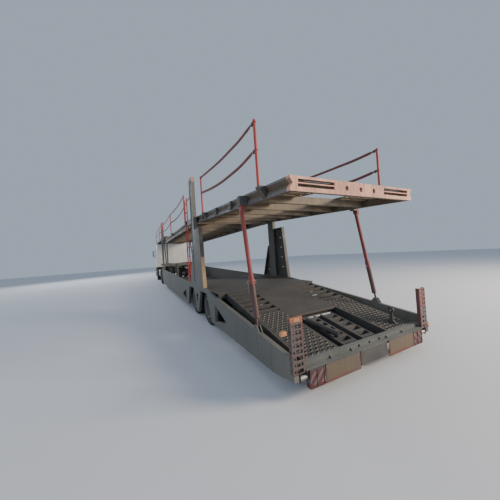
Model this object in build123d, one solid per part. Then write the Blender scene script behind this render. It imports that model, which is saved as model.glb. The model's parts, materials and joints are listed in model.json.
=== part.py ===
from build123d import *
import os
from math import atan2, cos, degrees, radians, sin, sqrt

# Articulated car transporter: a low-roof tractor unit hinged to a two-level semi-trailer.
# Millimetres. +X forward, +Y to the vehicle's left, +Z up, origin on the ground under the
# middle of the overall box. Places along the trailer's rear half are measured forward from the rear
# end, and those of its front half and of the tractor back from the front end.

# Overall sizes
LENGTH = 19600.0
WIDTH = 2550.0
REAR = -LENGTH / 2
FRONT = LENGTH / 2
HALF = WIDTH / 2
SEAT = 0.3
RUNNING = 0.05

# Trailer side panels
PANEL_T = 60.0
PANEL_LOW = 205.0
PANEL_REAR = REAR + 70.0
PANEL_REAR_TOP = 500.0
PANEL_TOP = 880.0
PANEL_LEVEL_FROM = REAR + 3350.0
PANEL_FRONT = FRONT - 6400.0
PANEL_FRONT_TOP = 1040.0
PANEL_IN = HALF - PANEL_T
PANEL_TAIL = 10.0
PANEL_TAIL_LOW = 262.0
TAIL_RUN = 330.0
NOSE_DEEP = 380.0
NOSE_RUN = 420.0
EAR_FOOT = 90.0
EAR_HEAD = 31.0
EAR_SINK = 12.0

# Trailer wheels and axles
TANDEM_REAR = REAR + 3450.0
TANDEM_SPACING = 1310.0
TRAILER_TYRE_R = 398.0
TRAILER_TYRE_W = 225.0
TRAILER_RIM_R = 222.0
TWIN_GAP = 45.0
TRAILER_OUT = 1190.0
ARCH_HALF = 515.0
ARCH_TOP = 780.0
ARCH_SLANT = 65.0
ARCH_KNEE_Z = 445.0
ARCH_FLAT = 270.0
CUT_AWAY = 1470.0
CUT_LONG = 715.0
CUT_SLANT = 45.0
CUT_LOW = 285.0
CUT_TOP = 625.0
CUT_TIP = 395.0
CUT_R = 26.0
WEB_HALF = 120.0
WEB_LOW = 400.0
WEB_TOP = 670.0
WEB_R = 18.0
AXLE_R = 60.0
SIDE_GAP = 20.0
TRAILER_HUB_IN = 70.0
ARM_AHEAD = 400.0
ARM_BEHIND = 360.0
ARM_RISE = 200.0
ARM_H = 70.0
ARM_T = 70.0
ARM_Y = 520.0
HANGER_HALF = 80.0
BAG_R = 105.0

# Rear lower deck, sloping up to the level plate over the wheels
SLOPE_FROM = REAR + 150.0
SLOPE_LOW = 400.0
SLOPE_TO = REAR + 2450.0
OVER_WHEELS = 850.0
TRACK_IN = 470.0
TRACK_OUT = 1060.0
TRACK_T = 45.0
PERFORATED_TO = REAR + 1350.0
TRACK_RAIL = 30.0
TRACK_RAIL_H = 135.0
LOW_BEAM = 90.0
EDGE_TUBE_R = 28.0
GRIP_ROW = 60.0
GRIP_COLUMN = 88.0
GRIP_LONG = 50.0
GRIP_WIDE = 34.0
WELL_TO = REAR + 1120.0
RUNGS = 6
RUNG_HALF = 32.0
TRAY_T = 6.0
RAMP_Y = (-235.0, 150.0)
RAMP_HALF = 120.0
RAMP_RAIL = 14.0
RAMP_H = 58.0
RAMP_END = 60.0
RAMP_RUNGS = 6
ROLLER = ((REAR + 400.0, 190.0), (REAR + 940.0, 300.0))
ROLLER_R = 38.0
DECK_T = 12.0

# Rear shelf with the marking plates and lamps
SHELF_Z = 345.0
SHELF_T = 8.0
SHELF_RIB = 40.0
SHELF_RIBS = (-700.0, -350.0, 350.0, 700.0)
REAR_BEAM_T = 70.0
REAR_BEAM_H = 130.0
BEAM_HOLES_Y = (-200.0, 0.0, 200.0)
BEAM_HOLE_R = 18.0
BEAM_HOLE_DOWN = 28.0
MARKER_LOW = 140.0
MARKER_H = 195.0
MARKER_T = 4.0
MARKER_IN = 285.0
MARKER_OUT = 850.0
HOLDER_BACK = 12.0
HOLDER_HALF = 260.0
HOLDER_UP = 30.0
REAR_LAMP_IN = 862.0
REAR_LAMP_OUT = 1075.0
REAR_LAMP_T = 70.0
RAISED = 6.0

# Short posts at the rear corners
CORNER_SETBACK = 20.0
CORNER_WIDE = 160.0
SHELF_HALF = HALF - CORNER_WIDE - SEAT
CORNER_T = 7.0
CORNER_LOW = 330.0
CORNER_TOP = 930.0
CORNER_ROWS = 10
CORNER_HOLE = 30.0

# Belly floor between the posts
BELLY_FROM = REAR + 5550.0
BELLY_TO = FRONT - 7150.0
BELLY_Z = 450.0
STEP_BACK = 20.0
STRINGER_Y = 500.0
STRINGER_HALF = 40.0
STRINGER_H = 178.0

# Deck posts
MAIN_POST = REAR + 4190.0
FRONT_POST = FRONT - 7000.0
POST_IN = 1185.0
POST_X = 300.0
FRONT_POST_X = 130.0
MAIN_POST_TOP = 3760.0
FRONT_POST_TOP = 3820.0
POST_GROOVE = 12.0
SILL = 90.0
LEG_REAR_FOOT = 620.0
LEG_REAR_TOP = 460.0
LEG_REAR_Z = 2350.0
LEG_FRONT_FOOT = 460.0
LEG_FRONT_TOP = 70.0
LEG_FRONT_Z = 1850.0
LEG_RIM = 30.0
LEG_SKIN = 12.0
LEG_HOLES = 4
LEG_HOLE_R = 20.0
NOTCH_FROM = 2880.0
NOTCH_PITCH = 90.0
NOTCH_H = 45.0
NOTCH_DEEP = 24.0

# Stays under the rear end of the upper deck, leaning forward on their foot pins
STAY_FOOT_X = REAR + 812.0
STAY_FOOT_Z = 636.0
STAY_TOP_X = REAR + 1106.0
STAY_TOP_Z = 2330.0
STAY_Y = HALF - 30.0
STAY_R = 38.0
STAY_BAR_R = 31.0
STAY_SET = 8.0
STAY_EYE_T = 34.0
STAY_PIN_R = 12.0
STAY_PIN_HALF = 30.0
STAY_EYE_R = 26.0
STAY_SLEEVE_FROM = EAR_FOOT + 20.0
STAY_SLEEVE_TO = 700.0
STAY_HEAD = 30.0
STAY_HEAD_H = 40.0
STAY_SHOE = 150.0
SHOE_HALF = 45.0

# Upper rear deck, level in its own frame and then tilted about its rear lower edge
DECK_HALF = POST_IN - 45.0
DECK_BEAM_T = 62.0
REAR_DECK_REAR = REAR + 40.0
REAR_DECK_LENGTH = 4250.0
REAR_DECK_H = 168.0
REAR_DECK_TOP = 2444.0
REAR_DECK_TILT = 4.0
END_BEAM_T = 60.0
CROSS_BEAM = 70.0
REAR_BAY = 800.0
REAR_BEAMS = 6
BEAM_UP = 10.0
TRACK_DROP = 42.0
GROOVE_LOW = 40.0
GROOVE_HALF = 50.0
GROOVE_DEEP = 40.0
SLOT_FROM = 0.44
SLOT_TO = 0.96
SLOT_LOWS = (0.3, 0.6)
SLOT_HIGH = 0.22
END_HOLES_Y = (-260.0, 0.0, 260.0)
END_HOLE_R = 30.0
RIB_PITCH = 170.0
RIB_HALF = 22.0
RIB_H = 24.0
RIB_IN = 12.0
SLOT_IN = 50.0
SLOT_APART = 35.0
SLOT_WIDE = 62.0
LOCKS = (REAR + 1710.0, REAR + 2500.0, REAR + 3560.0)
LOCK_HALF = 50.0
LOCK_H = 130.0
LOCK_DOWN = 12.0
LOCK_OUT = 34.0
LOCK_HOLE_R = 20.0
PIVOT_R = 32.0
PIVOT_DEEP = 38.0

# Upper front deck
DECKS_APART = 330.0
FRONT_DECK_REAR = REAR_DECK_REAR + REAR_DECK_LENGTH + DECKS_APART
FRONT_DECK_FRONT = FRONT - 7160.0
FRONT_DECK_TOP = 2780.0
FRONT_DECK_H = 230.0
FRONT_BEAMS = 9
SHOE_RUN = 200.0
SHOE_UP = 20.0
SHOE_H = 140.0
SHOE_IN = 8.0
TRACK_PLATE_T = 8.0
UPPER_TRACK_IN = 400.0

# Head deck over the cab
HEAD_REAR = FRONT - 6600.0
HEAD_FRONT = FRONT - 550.0
HEAD_TOP = 3080.0
HEAD_H = 130.0
HEAD_HALF = POST_IN - 85.0
HEAD_TRACK_DOWN = 22.0
HEAD_PROP = 300.0
STRUT_FOOT = 900.0
STRUT_HEAD = 150.0
HEAD_SHARES = (0.25, 0.5, 0.75)
PROP_Y = 900.0
PROP_R = 42.0
PAD_HALF = 80.0
PAD_Y = 55.0
PAD_H = 70.0

# Hand rails
RAIL_Y = HALF - 50.0
RAIL_POST_R = 20.0
STRAP_R = 11.0
RAIL_TOP_H = 860.0
RAIL_MID_H = 470.0
RAIL_TOP_DROP = 30.0
HEIGHT = 4000.0
FOOT_HALF = 45.0
FOOT_DOWN = 152.0
FOOT_UP = 10.0
FOOT_OUT = 22.0
FOOT_T = 16.0

# Coupling
KINGPIN = FRONT - 4550.0
KINGPIN_R = 25.4
COUPLING_Z = 1080.0
COUPLING_T = 14.0
GOOSE_FRONT = FRONT - 3550.0
GOOSE_Y = 470.0
GOOSE_TOP = 1330.0
HEAD_SEAT = 20.0
NECK_T = 60.0
NECK_BEND = 1000.0
NECK_KNEE = 620.0
NECK_KNEE_Z = 650.0
NECK_FOOT = 420.0
NECK_LOW = 250.0
NECK_TIP = 80.0
NECK_BEAM = 100.0
NECK_BEAM_AT = 1300.0
COUPLING_RUN = 550.0
KINGPIN_LONG = 82.0
KINGPIN_LIP = 10.0
STRIP_IN = 640.0
STRIP_OUT = 1160.0
STRIP_SHORT = 250.0
LADDER_X = REAR + 4900.0
LADDER_WIDE = 300.0
LADDER_R = 17.0
BRACE_UP = 80.0
LADDER_TOP = 3400.0
RUNG_R = 13.0
RUNG_COUNT = 9
LEG_X = BELLY_TO + 520.0
LEG_Y = 755.0
LEG_TUBE = 110.0
LEG_FOOT = 460.0
LEG_SLEEVE = 180.0
LEG_GEAR_Z = 980.0
LEG_GEAR = 60.0

# Tractor
DRIVE_AXLE = FRONT - 5150.0
STEER_AXLE = FRONT - 1420.0
TYRE_R = 475.0
TYRE_W = 285.0
RIM_R = 286.0
BEAD_IN = 18.0
BEAD_OUT = 4.0
WALL_UP = 40.0
SHOULDER = 32.0
RIM_WALL = 14.0
RIM_LIP = 8.0
LIP_T = 4.0
HUB_R = 100.0
HUB_FLARE = 142.0
HUB_HALF = 60.0
DISC_HALF = 8.0
DISC_OFF = 40.0
HAND_HOLES = 8
HAND_HOLE_R = 24.0
HAND_HOLE_IN = 58.0
DRIVE_OUT = 1240.0
STEER_OUT = 1215.0
STEER_DISC_IN = 95.0
KNUCKLE_Y = 900.0
KNUCKLE_HALF = 45.0
KNUCKLE_BACK = 24.0
EAR_TOP = 86.0
EAR_T = 32.0
EAR_IN = 52.0
EAR_REACH = 17.0
KING_R = 18.0
BOSS_R = 42.0
BEAM_SECTION = 80.0
SPRING_HALF = 720.0
SPRING_DROP = 40.0
SPRING_T = 25.0
SPRING_PACK = 45.0
HOUSING_R = 70.0
DRIVE_HUB_IN = 90.0
DIFF_R = 175.0
PINION_TO = 330.0
PINION_R = 55.0
SADDLE = 60.0
FRAME_REAR = FRONT - 5900.0
FRAME_OUT = 430.0
FRAME_FLANGE = 75.0
FRAME_LOW = 660.0
FRAME_TOP = 920.0
FRAME_WEB = 9.0
MEMBER_X = 60.0
MEMBER_IN = 40.0
MEMBER_NEAR = 450.0
MEMBER_FAR = 1500.0
MEMBER_CAB = 100.0
CAB_PAD = 50.0
CAB_PAD_IN = 110.0
PLATE_R = 450.0
PLATE_HALF = 430.0
PLATE_TRIM = 30.0
PLATE_H = 50.0
MOUTH_HALF = 190.0
THROAT_RUN = 180.0
PEDESTAL = 130.0
PEDESTAL_IN = 350.0
PEDESTAL_OUT = 425.0
WALK_REAR = FRONT - 3350.0
WALK_FRONT = FRONT - 2450.0
WALK_T = 12.0
WALK_SLOTS = 9
WALK_SLOT_IN = 40.0
WALK_SLOT_OUT = 330.0
BOTTLE_R = 95.0
BOTTLE_Y = 190.0
BOTTLE_Z = 800.0
BOTTLE_END = 90.0

# Cab
CAB_REAR = FRONT - 2300.0
CAB_FRONT = FRONT - 120.0
CAB_HALF = 1240.0
CAB_FLOOR = 1060.0
CAB_ROOF = 2850.0
CAB_WALL = 55.0
SCREEN_LOW = 1640.0
SCREEN_TOP = 2600.0
SCREEN_RAKE = 130.0
DOOR_REAR = FRONT - 1340.0
DOOR_FRONT = FRONT - 420.0
DOOR_LOW = 1110.0
DOOR_TOP = 2660.0
DOOR_GAP = 7.0
DOOR_KNEE = 60.0
DOOR_LEAN = 110.0
DOOR_FRAME = 92.0
DOOR_R = 40.0
WINDOW_UP = 70.0
WINDOW_R = 25.0
THROUGH = 250.0
GLASS_T = 7.0
BUMPER_LOW = 300.0
BUMPER_T = 60.0
BUMPER_R = 90.0
BUMPER_GAP = 12.0
BUMPER_CLEAR = 640.0
SLOT_COUNT = 3
SLOT_PITCH = 85.0
SLOT_HALF_Y = 420.0
STEP_LOWS = (400.0, 680.0)
STEP_H = 200.0
STEP_T = 25.0
STEP_IN = 20.0
STEP_DEEP = 160.0
LAMP_IN = 800.0
LAMP_OUT = 1110.0
LAMP_LOW = 640.0
LAMP_H = 150.0
LAMP_DEEP = 48.0
LAMP_R = 35.0
GRILLE_LOW = 1150.0
GRILLE_TOP = 1560.0
GRILLE_HALF = 620.0
GRILLE_SLATS = 6
GRILLE_DEEP = 34.0
GRILLE_BAR = 14.0
VISOR_OUT = 60.0
VISOR_DROP = 30.0
VISOR_T = 14.0
VISOR_HALF = 1020.0
SKIRT_LOW = 450.0
SKIRT_CLEAR = 645.0
TUMBLE = 70.0
SCREEN_HALF = 1080.0
SCREEN_FRAME = 60.0
ROOF_RAKE = 190.0
EDGE_R = 30.0
CORNER_R = 100.0
ROOF_R = 50.0
GLASS_IN = 12.0
HINGE_X = DOOR_FRONT - DOOR_GAP / 2
HINGE_Y = CAB_HALF + 15.0
HINGE_R = 13.0
HINGE_Z = (1250.0, 1560.0)
HINGE_HALF = 25.0
HINGE_REACH = 65.0
LEAF_LONG = 70.0
LEAF_T = 8.0
MIRROR_X = FRONT - 310.0
MIRROR_HALF = 40.0
MIRROR_GAP = 70.0
MIRROR_W = 110.0
MIRROR_LOW = 1900.0
MIRROR_H = 520.0
MIRROR_R = 30.0
MIRROR_ARM = 56.0
SPINDLE_R = 40.0
TRAILER_SPINDLE_R = 36.0
TANK_REAR = FRONT - 4250.0
TANK_FRONT = FRONT - 2650.0
TANK_IN = 520.0
TANK_OUT = 1180.0
TANK_LOW = 400.0
TANK_TOP = 860.0
TANK_R = 70.0
STRAP_T = 6.0
STRAP_HALF = 25.0
CAP_R = 48.0
CAP_H = 34.0
BRACKET_END = 150.0
BRACKET_HALF = 30.0
BRACKET_LOW = 670.0
BRACKET_TOP = 730.0
BOX_SHARE = 0.55
BOX_APART = 60.0
GUARD_R = 525.0
GUARD_T = 6.0
GUARD_IN = 640.0
GUARD_LOW = 60.0
GUARD_STAY = 400.0
FLAP_DROP = 190.0
ARCH_R = 577.0
ARCH_LOW = 250.0
TUNNEL_REAR = FRONT - 1750.0
TUNNEL_FRONT = FRONT - 460.0
TUNNEL_HALF = 440.0
TUNNEL_TOP = 1430.0
ENGINE_REAR = FRONT - 1670.0
ENGINE_FRONT = FRONT - 550.0
ENGINE_HALF = 335.0
ENGINE_LOW = 575.0
ENGINE_TOP = 1330.0
MOUNT_IN = 200.0
MOUNT_HALF = 60.0
MOUNT_LOW = 760.0
DASH_GAP = 40.0
DASH_DEEP = 400.0
DASH_LOW = SCREEN_LOW - 185.0
DASH_TOP = SCREEN_LOW + 20.0
DASH_R = 25.0
SEAT_Y = 640.0
WHEEL_BACK = 130.0
COLUMN_R = 28.0
WHEEL_TILT = 38.0
WHEEL_R = 215.0
WHEEL_RIM_R = 15.0
SPOKE_W = 60.0
SEAT_AHEAD = 60.0
SEAT_HALF = 235.0
CUSHION_LOW = 330.0
CUSHION_T = 120.0
CUSHION_LONG = 490.0
BACK_LEAN = 170.0
BACK_TOP = 1150.0
BUNK_DEEP = 465.0
BUNK_LOW = 380.0
BUNK_T = 120.0

# Lifting eye on the rear deck
EYE_X = REAR + 260.0
EYE_R = 18.0
EYE_Y = -790.0
EYE_T = 20.0
EYE_HALF = 60.0
EYE_RISE = 198.5
EYE_FOOT = 25.0
EYE_STEM = 22.0
EYE_OUTER_R = 42.0

# Hand-rail posts of each deck: place and top height
REAR_RAIL = [(REAR + 570.0, 3330.0), (REAR + 3250.0, 3500.0)]
FRONT_RAIL = [(REAR + 5400.0, 3620.0), (REAR + 8650.0, 3620.0), (FRONT - 7600.0, 3620.0)]
HEAD_RAIL = [(FRONT - 6300.0, HEIGHT), (FRONT - 3500.0, HEIGHT), (FRONT - 650.0, HEIGHT)]


def block(x0, x1, y0, y1, z0, z1):
    """A box between its corners."""
    size = Box(x1 - x0, y1 - y0, z1 - z0)
    return Pos((x0 + x1) / 2, (y0 + y1) / 2, (z0 + z1) / 2) * size


def side_shape(points, y0, y1, radius=0):
    """An outline in X and Z, thick from y0 to y1, with its corners rounded."""
    face = make_face(Polyline(*points, close=True))
    if radius:
        face = fillet(face.vertices(), radius)
    plane = Plane(origin=(0, y1, 0), x_dir=(1, 0, 0), z_dir=(0, -1, 0))
    return extrude(plane * face, amount=y1 - y0)


def end_shape(points, x0, x1, radius=0):
    """An outline in Y and Z, thick from x0 to x1, with its corners rounded."""
    face = make_face(Polyline(*points, close=True))
    if radius:
        face = fillet(face.vertices(), radius)
    plane = Plane(origin=(x0, 0, 0), x_dir=(0, 1, 0), z_dir=(1, 0, 0))
    return extrude(plane * face, amount=x1 - x0)


def plan_shape(points, z0, z1, radius=0):
    """An outline in X and Y, thick from z0 to z1, with its corners rounded."""
    face = make_face(Polyline(*points, close=True))
    if radius:
        face = fillet(face.vertices(), radius)
    return extrude(Pos(0, 0, z0) * face, amount=z1 - z0)


def rod(start, end, radius):
    """A round bar from one point to another."""
    start, end = Vector(*start), Vector(*end)
    run = end - start
    plane = Plane(origin=start, z_dir=run.normalized())
    return plane * Cylinder(radius, run.length, align=(Align.CENTER, Align.CENTER, Align.MIN))


def ring(centre, axis, outer, inner, width):
    """A flat ring or a disc, centred on its middle."""
    solid = Cylinder(outer, width)
    if inner:
        solid -= Cylinder(inner, width * 2)
    return Plane(origin=centre, z_dir=axis) * solid


def joined(pieces):
    """Touching pieces made one solid."""
    whole = pieces[0]
    return whole.fuse(*pieces[1:]) if len(pieces) > 1 else whole


def mirrored(piece):
    """The same piece on the other side of the vehicle."""
    return mirror(piece, about=Plane.XZ)


def write(name, *pieces):
    """One node, of one solid or of several that don't touch."""
    solids = [solid for piece in pieces for solid in piece.solids()]
    shape = solids[0] if len(solids) == 1 else Compound(children=solids)
    shape.label = name
    export_step(shape, f"parts/{name}.step")


def slope_z(x):
    """Height of the rear lower deck's top at a place along it."""
    share = (x - SLOPE_FROM) / (SLOPE_TO - SLOPE_FROM)
    return SLOPE_LOW + share * (OVER_WHEELS - SLOPE_LOW)


def panel_top(x):
    """Height of a side panel's top edge at a place along it."""
    if x < PANEL_LEVEL_FROM:
        share = (x - PANEL_REAR) / (PANEL_LEVEL_FROM - PANEL_REAR)
        return PANEL_REAR_TOP + share * (PANEL_TOP - PANEL_REAR_TOP)
    if x > BELLY_FROM:
        share = (x - BELLY_FROM) / (PANEL_FRONT - BELLY_FROM)
        return PANEL_TOP + share * (PANEL_FRONT_TOP - PANEL_TOP)
    return PANEL_TOP


def side_panel():
    """The left side panel: a long plate with a tail, arches, lightening holes and ears for the stay."""
    tail = REAR + PANEL_TAIL
    outline = [
        (tail, PANEL_TAIL_LOW), (tail, CORNER_LOW - SEAT), (PANEL_REAR, CORNER_LOW - SEAT),
        (PANEL_REAR, PANEL_REAR_TOP),
        (PANEL_LEVEL_FROM, PANEL_TOP), (BELLY_FROM, PANEL_TOP), (PANEL_FRONT, PANEL_FRONT_TOP),
        (PANEL_FRONT, PANEL_FRONT_TOP - NOSE_DEEP), (PANEL_FRONT - NOSE_RUN, PANEL_LOW),
        (PANEL_REAR + TAIL_RUN, PANEL_LOW),
    ]
    panel = side_shape(outline, PANEL_IN, HALF)
    y0, y1 = PANEL_IN - 1, HALF + 1
    knee, foot = ARCH_HALF - ARCH_SLANT, ARCH_HALF + ARCH_SLANT
    cuts = []
    for axle in (TANDEM_REAR, TANDEM_REAR + TANDEM_SPACING):
        arch = [
            (axle - foot, PANEL_LOW - ARCH_SLANT), (axle - knee, ARCH_KNEE_Z), (axle - ARCH_FLAT, ARCH_TOP),
            (axle + ARCH_FLAT, ARCH_TOP), (axle + knee, ARCH_KNEE_Z), (axle + foot, PANEL_LOW - ARCH_SLANT),
        ]
        cuts.append(side_shape(arch, y0, y1))
    middle = TANDEM_REAR + TANDEM_SPACING / 2
    for sign in (-1, 1):
        near = middle + sign * CUT_AWAY
        hole = [(near, CUT_LOW), (near + sign * CUT_SLANT, CUT_TOP), (near + sign * CUT_LONG, CUT_TIP)]
        cuts.append(side_shape(hole, y0, y1, CUT_R))
    web = [(middle - WEB_HALF, WEB_TOP), (middle + WEB_HALF, WEB_TOP), (middle, WEB_LOW)]
    cuts.append(side_shape(web, y0, y1, WEB_R))
    ears = []
    half_slot = STAY_EYE_T / 2 + 1
    for ya, yb in ((PANEL_IN, STAY_Y - half_slot), (STAY_Y + half_slot, HALF)):
        base = panel_top(STAY_FOOT_X) - EAR_SINK
        ear = [
            (STAY_FOOT_X - EAR_FOOT, base), (STAY_FOOT_X - EAR_HEAD, STAY_FOOT_Z + EAR_HEAD),
            (STAY_FOOT_X + EAR_HEAD, STAY_FOOT_Z + EAR_HEAD), (STAY_FOOT_X + EAR_FOOT, base + EAR_SINK),
        ]
        ears.append(side_shape(ear, ya, yb))
    pin_hole = rod((STAY_FOOT_X, y0, STAY_FOOT_Z), (STAY_FOOT_X, y1, STAY_FOOT_Z), STAY_PIN_R + RUNNING)
    return joined([panel.cut(*cuts)] + ears) - pin_hole


def slope_strip(x0, x1, y0, y1, down):
    """A strip that follows the rear lower deck's slope, from its top down."""
    points = [(x0, slope_z(x0) - down), (x0, slope_z(x0)), (x1, slope_z(x1)), (x1, slope_z(x1) - down)]
    return side_shape(points, y0, y1)


def grip_holes(x0, x1, y0, y1):
    """Staggered rows of lozenge holes that fill a plan area, as upright prisms."""
    holes = []
    rows = int((x1 - x0) // GRIP_ROW)
    for row in range(rows):
        x = x0 + (row + 0.5) * (x1 - x0) / rows
        columns = int((y1 - y0) // GRIP_COLUMN) - row % 2
        first = (y0 + y1) / 2 - (columns - 1) * GRIP_COLUMN / 2
        for column in range(columns):
            y = first + column * GRIP_COLUMN
            lozenge = [(x - GRIP_WIDE / 2, y), (x, y + GRIP_LONG / 2), (x + GRIP_WIDE / 2, y),
                (x, y - GRIP_LONG / 2)]
            holes.append(plan_shape(lozenge, slope_z(x0) - WIDTH / 10, slope_z(x1) + WIDTH / 10))
    return holes


def rear_track():
    """The left rear track: a sloping grip plate between two rails, and beyond it a section of rungs."""
    y0, y1 = TRACK_IN + TRACK_RAIL + SEAT, TRACK_OUT - TRACK_RAIL - SEAT
    grip = slope_strip(SLOPE_FROM, PERFORATED_TO, y0, y1, DECK_T)
    pieces = [
        grip.cut(*grip_holes(SLOPE_FROM, PERFORATED_TO, y0, y1)),
        slope_strip(SLOPE_FROM, SLOPE_TO, TRACK_IN, TRACK_IN + TRACK_RAIL, TRACK_RAIL_H),
        slope_strip(SLOPE_FROM, SLOPE_TO, TRACK_OUT - TRACK_RAIL, TRACK_OUT, TRACK_RAIL_H),
    ]
    pitch = (SLOPE_TO - PERFORATED_TO) / RUNGS
    for index in range(RUNGS):
        x = PERFORATED_TO + (index + 0.5) * pitch
        pieces.append(slope_strip(x - RUNG_HALF, x + RUNG_HALF, y0, y1, TRACK_T))
    return pieces


def stowed_ramps():
    """The tray in the well between the tracks, with two folded ramps and a loose roller on them."""
    half = TRACK_IN - SEAT
    x0, x1 = SLOPE_FROM + SEAT, WELL_TO - SEAT

    def floor_z(x):
        return slope_z(x) - TRACK_RAIL_H

    tray = side_shape(
        [(x0, floor_z(x0)), (x0, floor_z(x0) + TRAY_T), (x1, floor_z(x1) + TRAY_T), (x1, floor_z(x1))],
        -half, half,
    )
    pieces = [tray]
    for y in RAMP_Y:
        start, end = x0 + RAMP_END, x1 - RAMP_END

        def bar(xa, xb, ya, yb):
            rise = TRAY_T + SEAT
            points = [
                (xa, floor_z(xa) + rise), (xa, floor_z(xa) + rise + RAMP_H),
                (xb, floor_z(xb) + rise + RAMP_H), (xb, floor_z(xb) + rise),
            ]
            return side_shape(points, ya, yb)

        rails = [bar(start, end, y + side * RAMP_HALF - RAMP_RAIL,
            y + side * RAMP_HALF + RAMP_RAIL) for side in (-1, 1)]
        step = (end - start) / RAMP_RUNGS
        rungs = [
            bar(start + (index + 0.3) * step, start + (index + 0.7) * step, y - RAMP_HALF, y + RAMP_HALF)
            for index in range(RAMP_RUNGS)
        ]
        pieces.append(joined(rails + rungs))
    (xa, ya), (xb, yb) = ROLLER
    lift = TRAY_T + RAMP_H + ROLLER_R * 1.02 + 2 * SEAT
    pieces.append(rod((xa, ya, floor_z(xa) + lift), (xb, yb, floor_z(xb) + lift), ROLLER_R))
    return pieces


def lower_floor():
    """The level plate over the wheels with its centre tongue and edge tube, and the belly floor."""
    half = PANEL_IN - SEAT
    plate_to = BELLY_FROM - STEP_BACK
    over = block(SLOPE_TO + SEAT, plate_to, -half, half, OVER_WHEELS - DECK_T, OVER_WHEELS)
    tongue_y = TRACK_IN - SEAT
    tongue = slope_strip(WELL_TO, SLOPE_TO, -tongue_y, tongue_y, DECK_T)
    tube_x = WELL_TO - EDGE_TUBE_R - SEAT
    tube_z = slope_z(WELL_TO) - EDGE_TUBE_R
    tube = rod((tube_x, -tongue_y, tube_z), (tube_x, tongue_y, tube_z), EDGE_TUBE_R)
    drop_x = plate_to + SEAT
    drop = block(drop_x, drop_x + DECK_T, -half, half, BELLY_Z - DECK_T, OVER_WHEELS)
    belly_from = drop_x + DECK_T + SEAT
    belly = block(belly_from, BELLY_TO, -half, half, BELLY_Z - DECK_T, BELLY_Z)
    top = BELLY_Z - DECK_T - SEAT
    stringers = [
        block(belly_from, BELLY_TO, y - STRINGER_HALF, y + STRINGER_HALF, top - STRINGER_H, top)
        for y in (-STRINGER_Y, STRINGER_Y)
    ]
    return [over, tongue, tube, drop, belly] + stringers


def crossmembers():
    """Beams under the lower decks: at the well, at the middle of the slope and under the plate."""
    inner = PANEL_IN - SEAT
    well_top = slope_z(WELL_TO) - DECK_T - SEAT
    gap = TRACK_IN - SEAT
    beams = [block(WELL_TO, WELL_TO + LOW_BEAM, -gap, gap, well_top - LOW_BEAM, well_top)]
    middle = (WELL_TO + SLOPE_TO) / 2
    middle_top = slope_z(middle) - TRACK_RAIL_H - SEAT
    beams.append(block(middle, middle + LOW_BEAM, -inner, inner, middle_top - LOW_BEAM, middle_top))
    top = OVER_WHEELS - DECK_T - SEAT
    for x in (SLOPE_TO + SEAT, BELLY_FROM - STEP_BACK - LOW_BEAM):
        beams.append(block(x, x + LOW_BEAM, -inner, inner, top - LOW_BEAM, top))
    return beams


def rear_beam():
    """The rear cross beam with three round holes, and the folded shelf behind it for lamps and plates."""
    half = PANEL_IN - SEAT
    top = SLOPE_LOW
    front = SLOPE_FROM - SEAT
    beam = block(front - REAR_BEAM_T, front, -half, half, top - REAR_BEAM_H, top)
    profile = [
        (REAR + SHELF_T, SHELF_Z), (REAR + SHELF_T, SHELF_Z + SHELF_T),
        (front - REAR_BEAM_T / 2, SHELF_Z + SHELF_T),
        (front - REAR_BEAM_T / 2, SHELF_Z),
    ]
    pieces = [beam, side_shape(profile, -SHELF_HALF, SHELF_HALF)]
    for y in SHELF_RIBS:
        rib = [
            (front - REAR_BEAM_T - SHELF_RIB, SHELF_Z + 1), (front - REAR_BEAM_T + 1, SHELF_Z + 1),
            (front - REAR_BEAM_T + 1, top - SHELF_T),
        ]
        pieces.append(side_shape(rib, y - SHELF_T / 2, y + SHELF_T / 2))
    hole_z = top - BEAM_HOLE_DOWN
    holes = [rod((REAR, y, hole_z), (SLOPE_FROM, y, hole_z), BEAM_HOLE_R) for y in BEAM_HOLES_Y]
    return joined(pieces).cut(*holes)


def marker_plates():
    """The two rear marking plates and the holder for the number plate, hung from the shelf."""
    pieces = []
    hang = SHELF_Z - SEAT
    for side in (-1, 1):
        y0, y1 = sorted((side * MARKER_IN, side * MARKER_OUT))
        plate = block(REAR, REAR + MARKER_T, y0, y1, MARKER_LOW, MARKER_LOW + MARKER_H)
        lip = block(REAR, REAR + 2 * SHELF_T, y0, y1, MARKER_LOW, MARKER_LOW + MARKER_T)
        flange = block(REAR, REAR + 4 * SHELF_T, y0 + SHELF_T, y1 - SHELF_T,
            MARKER_LOW + MARKER_H - SHELF_T, hang)
        pieces.append(joined([plate, lip, flange]))
    x = REAR + HOLDER_BACK
    holder = block(x, x + MARKER_T, -HOLDER_HALF, HOLDER_HALF, MARKER_LOW + HOLDER_UP, hang)
    tray = block(x, x + 3 * SHELF_T, -HOLDER_HALF, HOLDER_HALF, MARKER_LOW + HOLDER_UP,
        MARKER_LOW + HOLDER_UP + MARKER_T)
    return pieces + [joined([holder, tray])]


def rear_lamps():
    """The two rear lamp clusters, hung from the shelf, each with ribs between its lenses."""
    lamps = []
    for side in (-1, 1):
        y0, y1 = sorted((side * REAR_LAMP_IN, side * REAR_LAMP_OUT))
        top = SHELF_Z - SEAT
        lamp = block(REAR + RAISED, REAR + REAR_LAMP_T, y0, y1, MARKER_LOW, top)
        frames = [
            block(REAR, REAR + RAISED + 1, y0, y1, z, z + RAISED * 2)
            for z in (MARKER_LOW, (MARKER_LOW + top) / 2 - RAISED, top - 2 * RAISED)
        ]
        frames += [
            block(REAR, REAR + RAISED + 1, y, y + RAISED * 2, MARKER_LOW, top)
            for y in (y0, (y0 + y1) / 2 - RAISED, y1 - 2 * RAISED)
        ]
        lamps.append(joined([lamp] + frames))
    return lamps


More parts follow.
